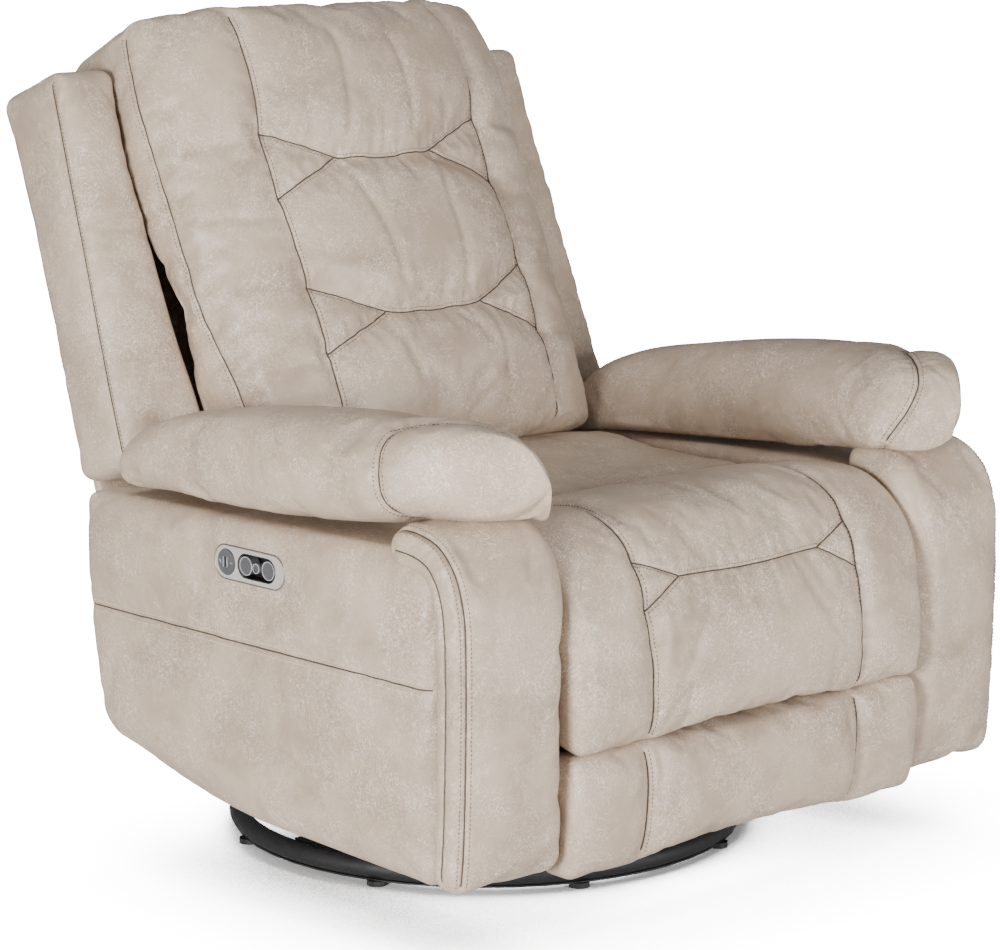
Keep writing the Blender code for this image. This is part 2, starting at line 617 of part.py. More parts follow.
def make_controls():
    home = {"axis": chair_axis}
    end = PANEL_LENGTH / 2 - PANEL_HEIGHT / 2
    face = slot_shape((PANEL_Y - end, PANEL_Z), (PANEL_Y + end, PANEL_Z), PANEL_HEIGHT / 2)
    reach = KEYS_HALF - KEYS_HEIGHT
    keys = slot_shape((KEYS_Y - reach, PANEL_Z), (KEYS_Y + reach, PANEL_Z), KEYS_HEIGHT)
    port = circle(USB_Y, PANEL_Z, USB_RADIUS + TOUCH, 24)
    outer = -ARM_OUTER - TOUCH
    plate("control_panel", face, outer - PANEL_SHEET, outer, SATIN, "X", [keys, port], **home)

    half = PANEL_LENGTH / 2 - 0.007
    tall = PANEL_HEIGHT / 2 - 0.005
    back = -ARM_OUTER + POCKET_DEPTH - 0.001
    front = -ARM_OUTER + TOUCH
    corners = [(PANEL_Y - half, PANEL_Z - tall, 0.003), (PANEL_Y + half, PANEL_Z - tall, 0.003),
               (PANEL_Y + half, PANEL_Z + tall, 0.003), (PANEL_Y - half, PANEL_Z + tall, 0.003)]
    body = block(rounded(corners, 2), front, back)
    well = block(keys, front - 0.01, front + 0.014)
    port_well = block(circle(USB_Y, PANEL_Z, USB_RADIUS + TOUCH, 24), front - 0.01, front + 0.020)
    joined("switch_housing", [body], DARK_PLASTIC, cuts=[well, port_well], **home)

    cap = block(circle(USB_Y, PANEL_Z, USB_RADIUS, 24), outer - PANEL_SHEET - 0.001, front + 0.0195)
    socket = cuboid((outer - 0.02, USB_Y - 0.0022, PANEL_Z - 0.0062),
                    (front + 0.012, USB_Y + 0.0022, PANEL_Z + 0.0062))
    joined("usb_port", [cap], GREY_PLASTIC, cuts=[socket], **home)

    floor = front + 0.0135
    proud = outer - PANEL_SHEET + 0.0005
    for name, y in (("recline_rocker", KEYS_Y + ROCKER_SHIFT), ("headrest_rocker", KEYS_Y - ROCKER_SHIFT)):
        pivot = joint_axis(f"{name}_axis", ((proud + floor) / 2, y, PANEL_Z))
        # A shallow valley across the middle splits the rocker into its two halves.
        button = rounded([(y - KEY_RADIUS, floor - 0.004, 0.001), (y + KEY_RADIUS, floor - 0.004, 0.001),
                          (y + KEY_RADIUS, proud, 0.001), (y, proud + 0.0012, 0),
                          (y - KEY_RADIUS, proud, 0.001)], 1)
        shape = block([(u, v) for u, v in button], -0.0125, 0.0125, "Z")
        turned = Matrix(((0, 1, 0, 0), (1, 0, 0, 0), (0, 0, -1, PANEL_Z), (0, 0, 0, 1)))
        bmesh.ops.transform(shape, matrix=turned, verts=shape.verts)
        round_tool = block(circle(y, PANEL_Z, KEY_RADIUS, 20), floor - 0.03, floor + 0.01)
        piece = joined(name, [shape], GREY_PLASTIC, axis=pivot)
        trim(piece, round_tool)
    press = joint_axis("home_button_axis", (proud, KEYS_Y, PANEL_Z))
    shape = rod(0.0062, (proud + 0.0010, KEYS_Y, PANEL_Z), (floor - 0.004, KEYS_Y, PANEL_Z), 16)
    add_object("home_button", as_mesh("home_button", shape), GREY_PLASTIC, axis=press)


def trim(piece, shape):
    """Keeps only what of the piece lies inside the shape."""
    helper = bpy.data.objects.new(f"{piece.name}_trim", as_mesh(f"{piece.name}_trim", shape))
    helper.hide_render = True
    helper.display_type = "WIRE"
    bpy.context.collection.objects.link(helper)
    change = piece.modifiers.new("trim", "BOOLEAN")
    change.operation = "INTERSECT"
    change.object = helper
    change.solver = "EXACT"


# ---------------------------------------------------------------- backrest, drawn in its own tilted frame
# In that frame x is across, y runs to the rear and z runs up the back from the recline axle.
STILE_REAR = 0.075
STILE_FRONT = 0.045
BRACKET_FRONT = 0.0205
PAD_REAR = 0.020
BACK_WIDTH = SEAT_WIDTH - 2 * BACK_PLAY
WING_INNER = BACK_WIDTH / 2 + 0.004
WING_REACH_LOW = WING_INNER + WING_WIDTH_LOW
WING_REACH_TOP = WING_INNER + WING_WIDTH_TOP
WING_REAR = 0.0855
HEAD_HINGE_Y = 0.034
HEAD_AXLE = 0.005
HORN_REACH = 0.033
ROD_Y = HEAD_HINGE_Y + HORN_REACH - 0.006
ROD_FOOT = HEAD_HINGE - 0.130


def make_backrest():
    home = {"frame": recline_axis}
    stile_out = WING_INNER - TOUCH
    stile_in = stile_out - RAIL - 0.001
    foot_out = ARM_INNER - 0.004
    head_foot = HEAD_HINGE - 0.050
    bars = [
        cuboid((-foot_out, STILE_FRONT, 0.020), (foot_out, STILE_REAR, 0.070)),
        cuboid((-stile_out, STILE_FRONT, head_foot), (stile_out, STILE_REAR, head_foot + 0.034)),
    ]
    for _, side in sides():
        low, high = span(side, stile_in, foot_out)
        bars.append(cuboid((low, STILE_FRONT, 0.030), (high, STILE_REAR, 0.120)))
        low, high = span(side, stile_in, stile_out)
        bars.append(cuboid((low, STILE_FRONT, 0.105), (high, STILE_REAR, WING_TOP - 0.005)))
    channel = rod(0.0095, (0, ROD_Y, head_foot - 0.02), (0, ROD_Y, head_foot + 0.05))
    joined("back_frame", bars, TIMBER, cuts=[channel], **home)

    bracket = rounded([(-0.016, -0.016, 0.012), (STILE_REAR - 0.005, -0.006, 0.01),
                       (STILE_REAR - 0.005, 0.0195, 0), (STILE_FRONT - TOUCH, 0.0195, 0),
                       (STILE_FRONT - TOUCH, 0.160, 0.008),
                       (BRACKET_FRONT, 0.160, 0.008), (BRACKET_FRONT, 0.026, 0.01),
                       (-0.016, 0.016, 0.012)], 3)
    near = SIDE_PLATE_X + SHEET + RUN
    for name, side in sides():
        low, high = span(side, near, near + SHEET)
        plate(f"back_bracket_{name}", bracket, low, high, BLACK_STEEL, "X", [circle(0, 0, 0.0072)], **home)

    wedge = math.tan(math.radians(HEAD_TILT) / 2)
    front = -BACK_PAD - 0.008
    top = HEAD_HINGE - 0.006
    outline = rounded([
        (-PAD_REAR + 0.0395, 0.050, 0.01), (-PAD_REAR + 0.0395, top, 0),
        (front + 0.030, top - (BACK_PAD + 0.01) * wedge, 0.03), (front, 0.23, 0.2),
        (front - 0.006, 0.13, 0.1), (front + 0.004, 0.052, 0.03),
    ])
    narrow = ARM_INNER - 0.020
    cushion = block(outline, -BACK_WIDTH / 2, BACK_WIDTH / 2)
    # Beside the arm pillows the cushion is narrower.
    notch = []
    for _, side in sides():
        low, high = span(side, narrow, BACK_WIDTH)
        notch.append(block([(-0.4, -0.1), (0.2, -0.1), (0.2, 0.23), (-0.4, 0.23)], low, high))
    joined("back_cushion", [cushion], LEATHER, cuts=notch, **home)

    for name, side in sides():
        face = [(WING_INNER, WING_FOOT), (WING_REACH_LOW, WING_FOOT), (WING_REACH_TOP, WING_TOP),
                (WING_INNER, WING_TOP)]
        outline = [(side * u, v) for u, v in face]
        padding(f"wing_{name}", outline, -WING_REAR, WING_FRONT, LEATHER, 0.022, "Y", **home)
    cover = [(-WING_REACH_LOW + 0.012, 0.062), (WING_REACH_LOW - 0.012, 0.062),
             (WING_REACH_TOP - 0.012, WING_TOP + 0.008), (-WING_REACH_TOP + 0.012, WING_TOP + 0.008)]
    padding("back_rear_cover", cover, -WING_REAR - 0.0265, -WING_REAR - 0.001, LEATHER, 0.010, "Y", **home)

    reach = stile_in - TOUCH
    shape = rod(HEAD_AXLE, (-reach, HEAD_HINGE_Y, HEAD_HINGE), (reach, HEAD_HINGE_Y, HEAD_HINGE))
    add_object("headrest_axle", as_mesh("headrest_axle", shape), ZINC, **home)
    gear = cuboid((-0.032, STILE_FRONT + 0.001, 0.110), (0.032, STILE_REAR, 0.175))
    tube = rod(0.011, (0, ROD_Y, 0.170), (0, ROD_Y, ROD_FOOT - 0.003))
    joined("headrest_motor", [gear, tube], DARK_PLASTIC, **home)


def make_headrest():
    place = recline_axis.matrix_world @ Vector((0, HEAD_HINGE_Y, HEAD_HINGE))
    axis = joint_axis("headrest_joint", place, -TILT)
    home = {"frame": axis}
    half = WING_INNER - RAIL - 0.012
    eye = 0.0100
    board_top = WING_TOP - HEAD_HINGE + 0.004
    face = -BOARD / 2
    outline = circle(0, 0, eye, 16)
    board = block([(face, 0.0085), (-face, 0.0085), (-face, board_top), (face, board_top)], -half, half)
    knuckle = block(outline, -half, half)
    # The rod that tips the headrest pushes up on a lug behind the hinge.
    lug = block(slot_shape((-0.002, 0), (HORN_REACH, 0), 0.005, 6), -0.008, 0.008)
    bore = block(circle(0, 0, HEAD_AXLE + BORE_PLAY, 16), -half - 0.01, half + 0.01)
    joined("headrest_board", [board, knuckle, lug], TIMBER, cuts=[bore], **home)

    wedge = math.tan(math.radians(HEAD_TILT) / 2)
    top = BACK_LENGTH - HEAD_HINGE
    rear = face - TOUCH
    crest = WING_TOP + 0.014 - HEAD_HINGE
    front = -BACK_PAD + 0.016 - HEAD_HINGE_Y
    outline = rounded([
        (rear, 0.012, 0), (rear, crest, 0), (0.048, crest, 0.008), (0.052, crest + 0.036, 0.02),
        (0.020, top, 0.03), (front + 0.045, top, 0.05), (front + 0.004, top - 0.075, 0.06),
        (front, -front * wedge + 0.006, 0.025),
    ])
    padding("head_cushion", outline, -BACK_WIDTH / 2, BACK_WIDTH / 2, LEATHER, 0.018, **home)


def make_headrest_rod():
    """It slides up the back and stops just under the headrest's lug."""
    place = recline_axis.matrix_world @ Vector((0, ROD_Y, HEAD_HINGE - 0.0062))
    axis = joint_axis("headrest_rod_axis", place, -TILT)
    shape = rod(0.0065, (0, 0, ROD_FOOT - HEAD_HINGE + 0.0062), (0, 0, 0))
    add_object("headrest_rod", as_mesh("headrest_rod", shape), ZINC, frame=axis)


# ---------------------------------------------------------------- legrest
def make_legrest():
    home = {"axis": legrest_axis}
    half = ARM_INNER - SOFT_GAP
    split = PAD_BOTTOM + LEGREST_SPLIT
    upper = rounded([
        (PAD_BACK, split + 0.0035, 0.01), (PAD_BACK, PAD_TOP, 0), (PAD_FACE + 0.002, PAD_TOP, 0.012),
        (PAD_FACE, split + 0.09, 0.1), (PAD_FACE + 0.004, split + 0.0035, 0.03),
    ])
    padding("legrest_upper_pad", upper, -half, half, LEATHER, 0.012, **home)
    lower = rounded([
        (PAD_BACK, PAD_BOTTOM, 0.01), (PAD_BACK, split - 0.0035, 0.01),
        (PAD_FACE + 0.010, split - 0.0035, 0.03), (PAD_FACE + 0.006, split - 0.07, 0.1),
        (PAD_FACE + 0.020, PAD_BOTTOM, 0.03),
    ])
    padding("legrest_lower_pad", lower, -half, half, LEATHER, 0.012, **home)

    wide = half - 0.020
    fork_in, fork_out = 0.0105, 0.0145
    board = cuboid((-wide, BOARD_FACE, PAD_BOTTOM + 0.012), (wide, BOARD_REAR, PAD_TOP - 0.005))
    parts = [board]
    lug = slot_shape((BOARD_REAR + 0.006, HORN.z - 0.012), (HORN.y, HORN.z), 0.012, 6)
    for _, side in sides():
        low, high = span(side, fork_in, fork_out)
        parts.append(block(lug, low, high))
    bore = rod(0.006, (-0.03, HORN.y, HORN.z), (0.03, HORN.y, HORN.z), 12)
    joined("legrest_board", parts, TIMBER, cuts=[bore], **home)

    eye = 0.0150
    y, z = LEGREST_AT.y, LEGREST_AT.z
    arc = [(y + eye * math.cos(a), z + eye * math.sin(a))
           for a in (math.radians(d) for d in (30, 60, 90, 120, 150, 180, 210, 240))]
    arm_face = BOARD_REAR + TOUCH
    arm_rear = RAIL_FRONT - 0.0030
    arm = [(arm_face, PAD_BOTTOM + 0.05), (arm_rear, PAD_BOTTOM + 0.05), (arm_rear, PAD_TOP + 0.012), *arc,
           (arm_face - 0.012, PAD_TOP + 0.0018), (arm_face, PAD_TOP + 0.0018)]
    arm_x = ARM_INNER - 0.042
    for name, side in sides():
        low, high = span(side, arm_x, arm_x + SHEET)
        bore = circle(y, z, AXLE + BORE_PLAY)
        plate(f"legrest_arm_{name}", arm, low, high, BLACK_STEEL, "X", [bore], **home)

    seat = {"axis": chair_axis}
    ear = 0.0130
    arc = [(y + ear * math.cos(a), z + ear * math.sin(a))
           for a in (math.radians(d) for d in (90, 120, 150, 180, 210, 240, 270))]
    flange = [(RAIL_FRONT - TOUCH, FRONT_RAIL_FOOT + 0.030), (RAIL_FRONT - TOUCH, z + ear), *arc]
    for name, side in sides():
        low, high = span(side, arm_x + SHEET + RUN, arm_x + 2 * SHEET + RUN)
        bracket = block(flange, low, high)
        pin = rod(AXLE, (side * (arm_x - 0.002), y, z), (side * (arm_x + SHEET + RUN + 0.002), y, z))
        joined(f"legrest_hinge_{name}", [bracket, pin], BLACK_STEEL, **seat)


# ---------------------------------------------------------------- recline actuator
def make_actuator():
    """The motor's tube points along the chord that the legrest's lug swings through."""
    swing = math.radians(LEGREST_OPENING)
    arm = HORN - LEGREST_AT
    opened = LEGREST_AT + Vector((0, arm.y * math.cos(swing) + arm.z * math.sin(swing),
                                  -arm.y * math.sin(swing) + arm.z * math.cos(swing)))
    way = (opened - HORN).normalized()
    tail = HORN - way * 0.345
    neck = HORN - way * 0.060
    tube = rod(0.0160, tail, neck, 12)
    gear = cuboid((-0.033, tail.y - 0.085, tail.z - 0.028), (0.033, tail.y + 0.012, tail.z + 0.030))
    motor = rod(0.0260, (0.030, tail.y - 0.040, tail.z), (0.115, tail.y - 0.040, tail.z), 14)
    bore = rod(0.0085, neck - way * 0.200, neck + way * 0.01, 12)
    # The socket that the power cord plugs into, open to the rear.
    inlet = cuboid((-0.020, tail.y + 0.002, tail.z - 0.010), (-0.006, tail.y + 0.020, tail.z))
    joined("recline_motor", [tube, gear, motor], DARK_PLASTIC, cuts=[bore, inlet], axis=chair_axis)
    rod_axis = joint_axis("recline_rod_axis", HORN)
    shaft = rod(0.0070, HORN - way * 0.240, HORN - way * 0.009, 12)
    eye = block(circle(HORN.y, HORN.z, 0.0110, 12), -0.0080, 0.0080)
    hole = block(circle(HORN.y, HORN.z, 0.0060, 12), -0.02, 0.02)
    joined("recline_rod", [shaft, eye], ZINC, cuts=[hole], axis=rod_axis)


def centre_on_floor():
    """Moves everything so that the middle of the whole chair's footprint is at the origin."""
    bpy.context.view_layer.update()
    graph = bpy.context.evaluated_depsgraph_get()
    reach = []
    for piece in bpy.data.objects:
        if piece.type in {"MESH", "CURVE"} and not piece.hide_render:
            ready = piece.evaluated_get(graph)
            mesh = ready.to_mesh()
            reach += [(ready.matrix_world @ v.co).y for v in mesh.vertices]
            ready.to_mesh_clear()
    shift = -(min(reach) + max(reach)) / 2
    for piece in bpy.data.objects:
        if piece.parent is None:
            piece.location.y += shift


bpy.context.view_layer.update()
make_base()
make_turntable()
make_links()
make_seat_frame()
make_seat()
make_arms()
make_controls()
make_backrest()
make_headrest()
make_headrest_rod()
make_legrest()
make_actuator()
centre_on_floor()
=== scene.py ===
import json
import math

import bmesh
import bpy
import numpy as np
from mathutils import Matrix, Vector
from mathutils.bvhtree import BVHTree
from mathutils.kdtree import KDTree


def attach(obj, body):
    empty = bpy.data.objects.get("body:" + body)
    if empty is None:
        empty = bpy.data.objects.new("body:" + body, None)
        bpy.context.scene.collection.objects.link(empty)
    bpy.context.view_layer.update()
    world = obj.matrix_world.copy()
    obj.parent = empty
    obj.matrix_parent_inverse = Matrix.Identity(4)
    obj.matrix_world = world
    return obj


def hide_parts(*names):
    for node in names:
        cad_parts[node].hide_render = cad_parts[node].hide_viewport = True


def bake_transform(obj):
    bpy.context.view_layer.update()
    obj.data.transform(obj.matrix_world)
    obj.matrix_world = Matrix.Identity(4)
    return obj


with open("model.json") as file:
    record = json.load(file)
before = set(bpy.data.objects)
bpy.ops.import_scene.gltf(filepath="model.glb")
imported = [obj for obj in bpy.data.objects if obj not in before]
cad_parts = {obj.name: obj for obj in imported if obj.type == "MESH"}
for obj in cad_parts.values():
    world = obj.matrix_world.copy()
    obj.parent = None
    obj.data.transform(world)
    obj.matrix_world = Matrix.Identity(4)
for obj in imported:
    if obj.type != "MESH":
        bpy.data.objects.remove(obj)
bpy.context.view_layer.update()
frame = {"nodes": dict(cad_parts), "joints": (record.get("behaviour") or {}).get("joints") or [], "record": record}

# ---------------------------------------------------------------- camera and studio
# The chair stands on a seamless white floor under one broad soft light from the upper left,
# with a weaker one on the right. It is seen from its right front corner, a little above.
SHIFT = next(joint["pos_m"][1] for joint in frame["joints"] if joint["name"] == "swivel")
camera = bpy.data.objects.new("camera", bpy.data.cameras.new("camera"))
camera.location = (-2.907, -3.112 + SHIFT, 1.235)
camera.rotation_euler = (math.radians(90 - 10.384), 0, math.radians(-43.29))
camera.data.lens = 121.4
camera.data.sensor_width = 36
bpy.context.collection.objects.link(camera)
bpy.context.scene.camera = camera

floor_mesh = bpy.data.meshes.new("studio_floor")
floor_mesh.from_pydata([(-30, -30, 0), (30, -30, 0), (30, 30, 0), (-30, 30, 0)], [], [(0, 1, 2, 3)])
floor = bpy.data.objects.new("studio_floor", floor_mesh)
bpy.context.collection.objects.link(floor)
pale = bpy.data.materials.new("pale_floor")
pale.use_nodes = True
pale_shader = pale.node_tree.nodes["Principled BSDF"]
pale_shader.inputs["Base Color"].default_value = (0.95, 0.95, 0.95, 1)
pale_shader.inputs["Roughness"].default_value = 0.9
pale_shader.inputs["Emission Color"].default_value = (1, 1, 1, 1)
floor_mesh.materials.append(pale)


def seen_as(tree, socket, seen, otherwise):
    """Gives the socket one strength to the eye and another as a source of light."""
    eye = tree.nodes.new("ShaderNodeLightPath")
    strength = tree.nodes.new("ShaderNodeMapRange")
    strength.inputs["To Min"].default_value = otherwise
    strength.inputs["To Max"].default_value = seen
    tree.links.new(strength.inputs["Value"], eye.outputs["Is Camera Ray"])
    tree.links.new(socket, strength.outputs["Result"])
    return strength


# The floor and the studio's wall look white without lighting the chair from below.
floor_glow = seen_as(pale.node_tree, pale_shader.inputs["Emission Strength"], 20.0, 0.0)
# The glow fades where the chair stands close over the floor, which leaves its soft shadow.
open_air = pale.node_tree.nodes.new("ShaderNodeAmbientOcclusion")
open_air.inputs["Distance"].default_value = 0.30
open_air.samples = 8
fade = pale.node_tree.nodes.new("ShaderNodeMapRange")
fade.inputs["From Min"].default_value, fade.inputs["From Max"].default_value = 0.35, 0.95
fade.inputs["To Max"].default_value = 20.0
pale.node_tree.links.new(fade.inputs["Value"], open_air.outputs["AO"])
pale.node_tree.links.new(floor_glow.inputs["To Max"], fade.outputs["Result"])


def soft_light(name, place, target, size, power):
    lamp = bpy.data.lights.new(name, "AREA")
    lamp.shape, lamp.size, lamp.energy = "DISK", size, power
    light = bpy.data.objects.new(name, lamp)
    light.location = place
    light.rotation_euler = (Vector(target) - Vector(place)).to_track_quat("-Z", "Y").to_euler()
    bpy.context.collection.objects.link(light)


soft_light("key_light", (-3.5, -1.4, 0.85), (0, 0, 0.5), 1.1, 190)
soft_light("front_fill", (0.5, -4.0, 0.85), (0, 0, 0.5), 1.2, 132)
soft_light("top_light", (-0.5, 0.6, 3.2), (0, 0, 0.6), 1.4, 24)
world = bpy.data.worlds.new("studio")
world.use_nodes = True
world.node_tree.nodes["Background"].inputs["Color"].default_value = (1, 1, 1, 1)
seen_as(world.node_tree, world.node_tree.nodes["Background"].inputs["Strength"], 40.0, 0.24)
bpy.context.scene.world = world


# ---------------------------------------------------------------- finishes
# Taupe leather-look cloth, rubbed lighter in fine crackles and clouded darker in patches,
# over powder-coated steel, zinc plate, raw timber, satin metal and plastic.
def new_group(name, inputs, outputs):
    group = bpy.data.node_groups.new(name, "ShaderNodeTree")
    for label, kind, value in inputs:
        socket = group.interface.new_socket(label, in_out="INPUT", socket_type=kind)
        if value is not None:
            socket.default_value = value
    for label, kind in outputs:
        group.interface.new_socket(label, in_out="OUTPUT", socket_type=kind)
    return group, group.nodes.new("NodeGroupInput"), group.nodes.new("NodeGroupOutput")


def add_node(tree, kind, links=(), **settings):
    """A node with its inputs set from {name: value} and linked from (input, source) pairs."""
    node = tree.nodes.new(kind)
    values = settings.pop("values", {})
    for key, value in settings.items():
        setattr(node, key, value)
    for key, value in values.items():
        node.inputs[key].default_value = value
    for key, source in links:
        tree.links.new(node.inputs[key], source)
    return node


def leather_group():
    colour = "NodeSocketColor"
    number = "NodeSocketFloat"
    group, given, result = new_group(
        "distressed_leather",
        [("Base", colour, (0.5, 0.42, 0.34, 1)), ("Rubbed", colour, (0.7, 0.62, 0.54, 1)),
         ("Clouded", colour, (0.36, 0.29, 0.23, 1)), ("Crackle", number, 0.5), ("Grain", number, 1.0)],
        [("Color", colour), ("Roughness", number), ("Normal", "NodeSocketVector")],
    )
    link = group.links.new
    place = add_node(group, "ShaderNodeTexCoord").outputs["Object"]

    def noise(scale, detail, rough=0.5, twist=0.0):
        return add_node(group, "ShaderNodeTexNoise", [("Vector", place)],
                        values={"Scale": scale, "Detail": detail, "Roughness": rough, "Distortion": twist})

    def levels(value, low, high, first=0.0, last=1.0):
        ends = {"From Min": low, "From Max": high, "To Min": first, "To Max": last}
        return add_node(group, "ShaderNodeMapRange", [("Value", value)], values=ends).outputs[0]

    def combined(operation, first, second):
        return add_node(group, "ShaderNodeMath", [(0, first), (1, second)], operation=operation).outputs[0]

    # Scratches lie where a much distorted noise crosses its middle; a patchy noise keeps some.
    def scratches(scale, twist, width):
        away = add_node(group, "ShaderNodeMath", [(0, noise(scale, 2.0, 0.6, twist).outputs["Fac"])],
                        operation="SUBTRACT", values={1: 0.5})
        size = add_node(group, "ShaderNodeMath", [(0, away.outputs[0])], operation="ABSOLUTE")
        return levels(size.outputs[0], 0.0, width, 1.0, 0.0)

    patch = noise(14.0, 7.0, 0.68)
    marks = combined("MAXIMUM", scratches(40.0, 2.4, 0.017), scratches(95.0, 1.8, 0.024))
    worn = combined("MULTIPLY", marks, levels(patch.outputs["Fac"], 0.38, 0.60))
    shown = combined("MULTIPLY", worn, given.outputs["Crackle"])
    dark = levels(noise(9.0, 8.0, 0.62, 0.6).outputs["Fac"], 0.40, 0.66, 0.0, 0.75)
    clouded = add_node(group, "ShaderNodeMix", [("Factor", dark)], data_type="RGBA")
    link(clouded.inputs[6], given.outputs["Base"])
    link(clouded.inputs[7], given.outputs["Clouded"])
    faded = add_node(group, "ShaderNodeMix", [("Factor", shown)], data_type="RGBA")
    link(faded.inputs[6], clouded.outputs[2])
    link(faded.inputs[7], given.outputs["Rubbed"])
    link(result.inputs["Color"], faded.outputs[2])
    link(result.inputs["Roughness"], levels(patch.outputs["Fac"], 0.3, 0.7, 0.38, 0.52))
    pebble = add_node(group, "ShaderNodeTexVoronoi", [("Vector", place)], values={"Scale": 620.0})
    height = combined("SUBTRACT", pebble.outputs["Distance"], shown)
    bump = add_node(group, "ShaderNodeBump", [("Height", height), ("Strength", given.outputs["Grain"])],
                    values={"Distance": 0.0004})
    link(result.inputs["Normal"], bump.outputs["Normal"])
    return group


LEATHER_GROUP = leather_group()


def leather(name, base, rubbed, clouded, crackle=0.5):
    made = bpy.data.materials.new(name)
    made.use_nodes = True
    tree = made.node_tree
    shader = tree.nodes["Principled BSDF"]
    group = add_node(tree, "ShaderNodeGroup", node_tree=LEATHER_GROUP)
    for key, value in (("Base", base), ("Rubbed", rubbed), ("Clouded", clouded)):
        group.inputs[key].default_value = (*value, 1)
    group.inputs["Crackle"].default_value = crackle
    group.inputs["Grain"].default_value = 0.3
    tree.links.new(shader.inputs["Base Color"], group.outputs["Color"])
    tree.links.new(shader.inputs["Roughness"], group.outputs["Roughness"])
    tree.links.new(shader.inputs["Normal"], group.outputs["Normal"])
    shader.inputs["Specular IOR Level"].default_value = 0.45
    return made


def wear_group():
    """Small colour and roughness drift for hard finishes."""
    group, given, result = new_group(
        "hard_finish",
        [("Base", "NodeSocketColor", (0.5, 0.5, 0.5, 1)), ("Drift", "NodeSocketFloat", 0.15),
         ("Scale", "NodeSocketFloat", 60.0), ("Smooth", "NodeSocketFloat", 0.4)],
        [("Color", "NodeSocketColor"), ("Roughness", "NodeSocketFloat")],
    )
    place = add_node(group, "ShaderNodeTexCoord").outputs["Object"]
    noise = add_node(group, "ShaderNodeTexNoise", [("Vector", place), ("Scale", given.outputs["Scale"])],
                     values={"Detail": 4.0})
    shade = add_node(group, "ShaderNodeMapRange", [("Value", noise.outputs["Fac"])],
                     values={"From Min": 0.3, "From Max": 0.7, "To Min": -1.0, "To Max": 1.0})
    amount = add_node(group, "ShaderNodeMath", [(0, shade.outputs[0]), (1, given.outputs["Drift"])],
                      operation="MULTIPLY")
    factor = add_node(group, "ShaderNodeMath", [(0, amount.outputs[0])], operation="ADD", values={1: 1.0})
    tint = add_node(group, "ShaderNodeVectorMath", [(0, given.outputs["Base"]), ("Scale", factor.outputs[0])],
                    operation="SCALE")
    rough = add_node(group, "ShaderNodeMath", [(0, given.outputs["Smooth"]), (1, factor.outputs[0])],
                     operation="MULTIPLY")
    group.links.new(result.inputs["Color"], tint.outputs[0])
    group.links.new(result.inputs["Roughness"], rough.outputs[0])
    return group


WEAR_GROUP = wear_group()


def hard(name, base, smooth_value, metallic=0.0, drift=0.12, scale=60.0):
    made = bpy.data.materials.new(name)
    made.use_nodes = True
    tree = made.node_tree
    shader = tree.nodes["Principled BSDF"]
    group = add_node(tree, "ShaderNodeGroup", node_tree=WEAR_GROUP)
    group.inputs["Base"].default_value = (*base, 1)
    group.inputs["Drift"].default_value = drift
    group.inputs["Scale"].default_value = scale
    group.inputs["Smooth"].default_value = smooth_value
    tree.links.new(shader.inputs["Base Color"], group.outputs["Color"])
    tree.links.new(shader.inputs["Roughness"], group.outputs["Roughness"])
    shader.inputs["Metallic"].default_value = metallic
    return made


LEATHER = leather("taupe_leather", (0.47, 0.365, 0.275), (0.90, 0.80, 0.69), (0.31, 0.228, 0.163), 0.72)
THREAD = hard("brown_thread", (0.14, 0.10, 0.072), 0.7, drift=0.2, scale=300)
# Painted shade: the dark brown of the thin lines laid along the seams stands for the shadow in their grooves.
SEAM_SHADOW = hard("seam_edge", (0.065, 0.045, 0.032), 0.8, drift=0.2, scale=200)
PALE_THREAD = hard("pale_thread", (0.72, 0.64, 0.55), 0.7, drift=0.15, scale=300)
BLACK_STEEL = hard("black_powder_coat", (0.008, 0.008, 0.009), 0.6, 0.0, 0.2)
ZINC = hard("zinc_plate", (0.55, 0.56, 0.58), 0.35, 1.0, 0.15, 35)
TIMBER = hard("raw_plywood", (0.52, 0.37, 0.22), 0.7, 0.0, 0.25, 22)
SATIN = hard("satin_champagne", (0.78, 0.75, 0.69), 0.34, 0.7, 0.04)
SATIN_EDGE = hard("satin_edge", (0.30, 0.28, 0.25), 0.3, 0.9, 0.06)
DARK_PLASTIC = hard("black_plastic", (0.012, 0.012, 0.013), 0.4)
GREY_PLASTIC = hard("grey_plastic", (0.075, 0.075, 0.08), 0.42)
PRINT = hard("pale_print", (0.55, 0.55, 0.56), 0.5, drift=0.05)
# Painted shade: near-black for the frame and the boards that show in the gaps between the covers, so that the gaps
# look dark.
GAP_SHADE_BLACK = hard("black_dust_cloth", (0.015, 0.015, 0.016), 0.9)


# ---------------------------------------------------------------- backrest cushion
# One padded cover from the seat up over the head cushion: two side panels and a middle one,
# with two six-sided yoke seams pulled deep into the stuffing.
def smooth(xs, ys):
    """A smooth curve through the points, as a function of x."""
    xs, ys = np.array(xs, float), np.array(ys, float)
    slopes = np.gradient(ys, xs)

    def at(x):
        x = np.clip(x, xs[0], xs[-1])
        i = np.clip(np.searchsorted(xs, x) - 1, 0, len(xs) - 2)
        h = xs[i + 1] - xs[i]
        t = (x - xs[i]) / h
        return ((2 * t**3 - 3 * t**2 + 1) * ys[i] + (t**3 - 2 * t**2 + t) * h * slopes[i]
                + (3 * t**2 - 2 * t**3) * ys[i + 1] + (t**3 - t**2) * h * slopes[i + 1])

    return at


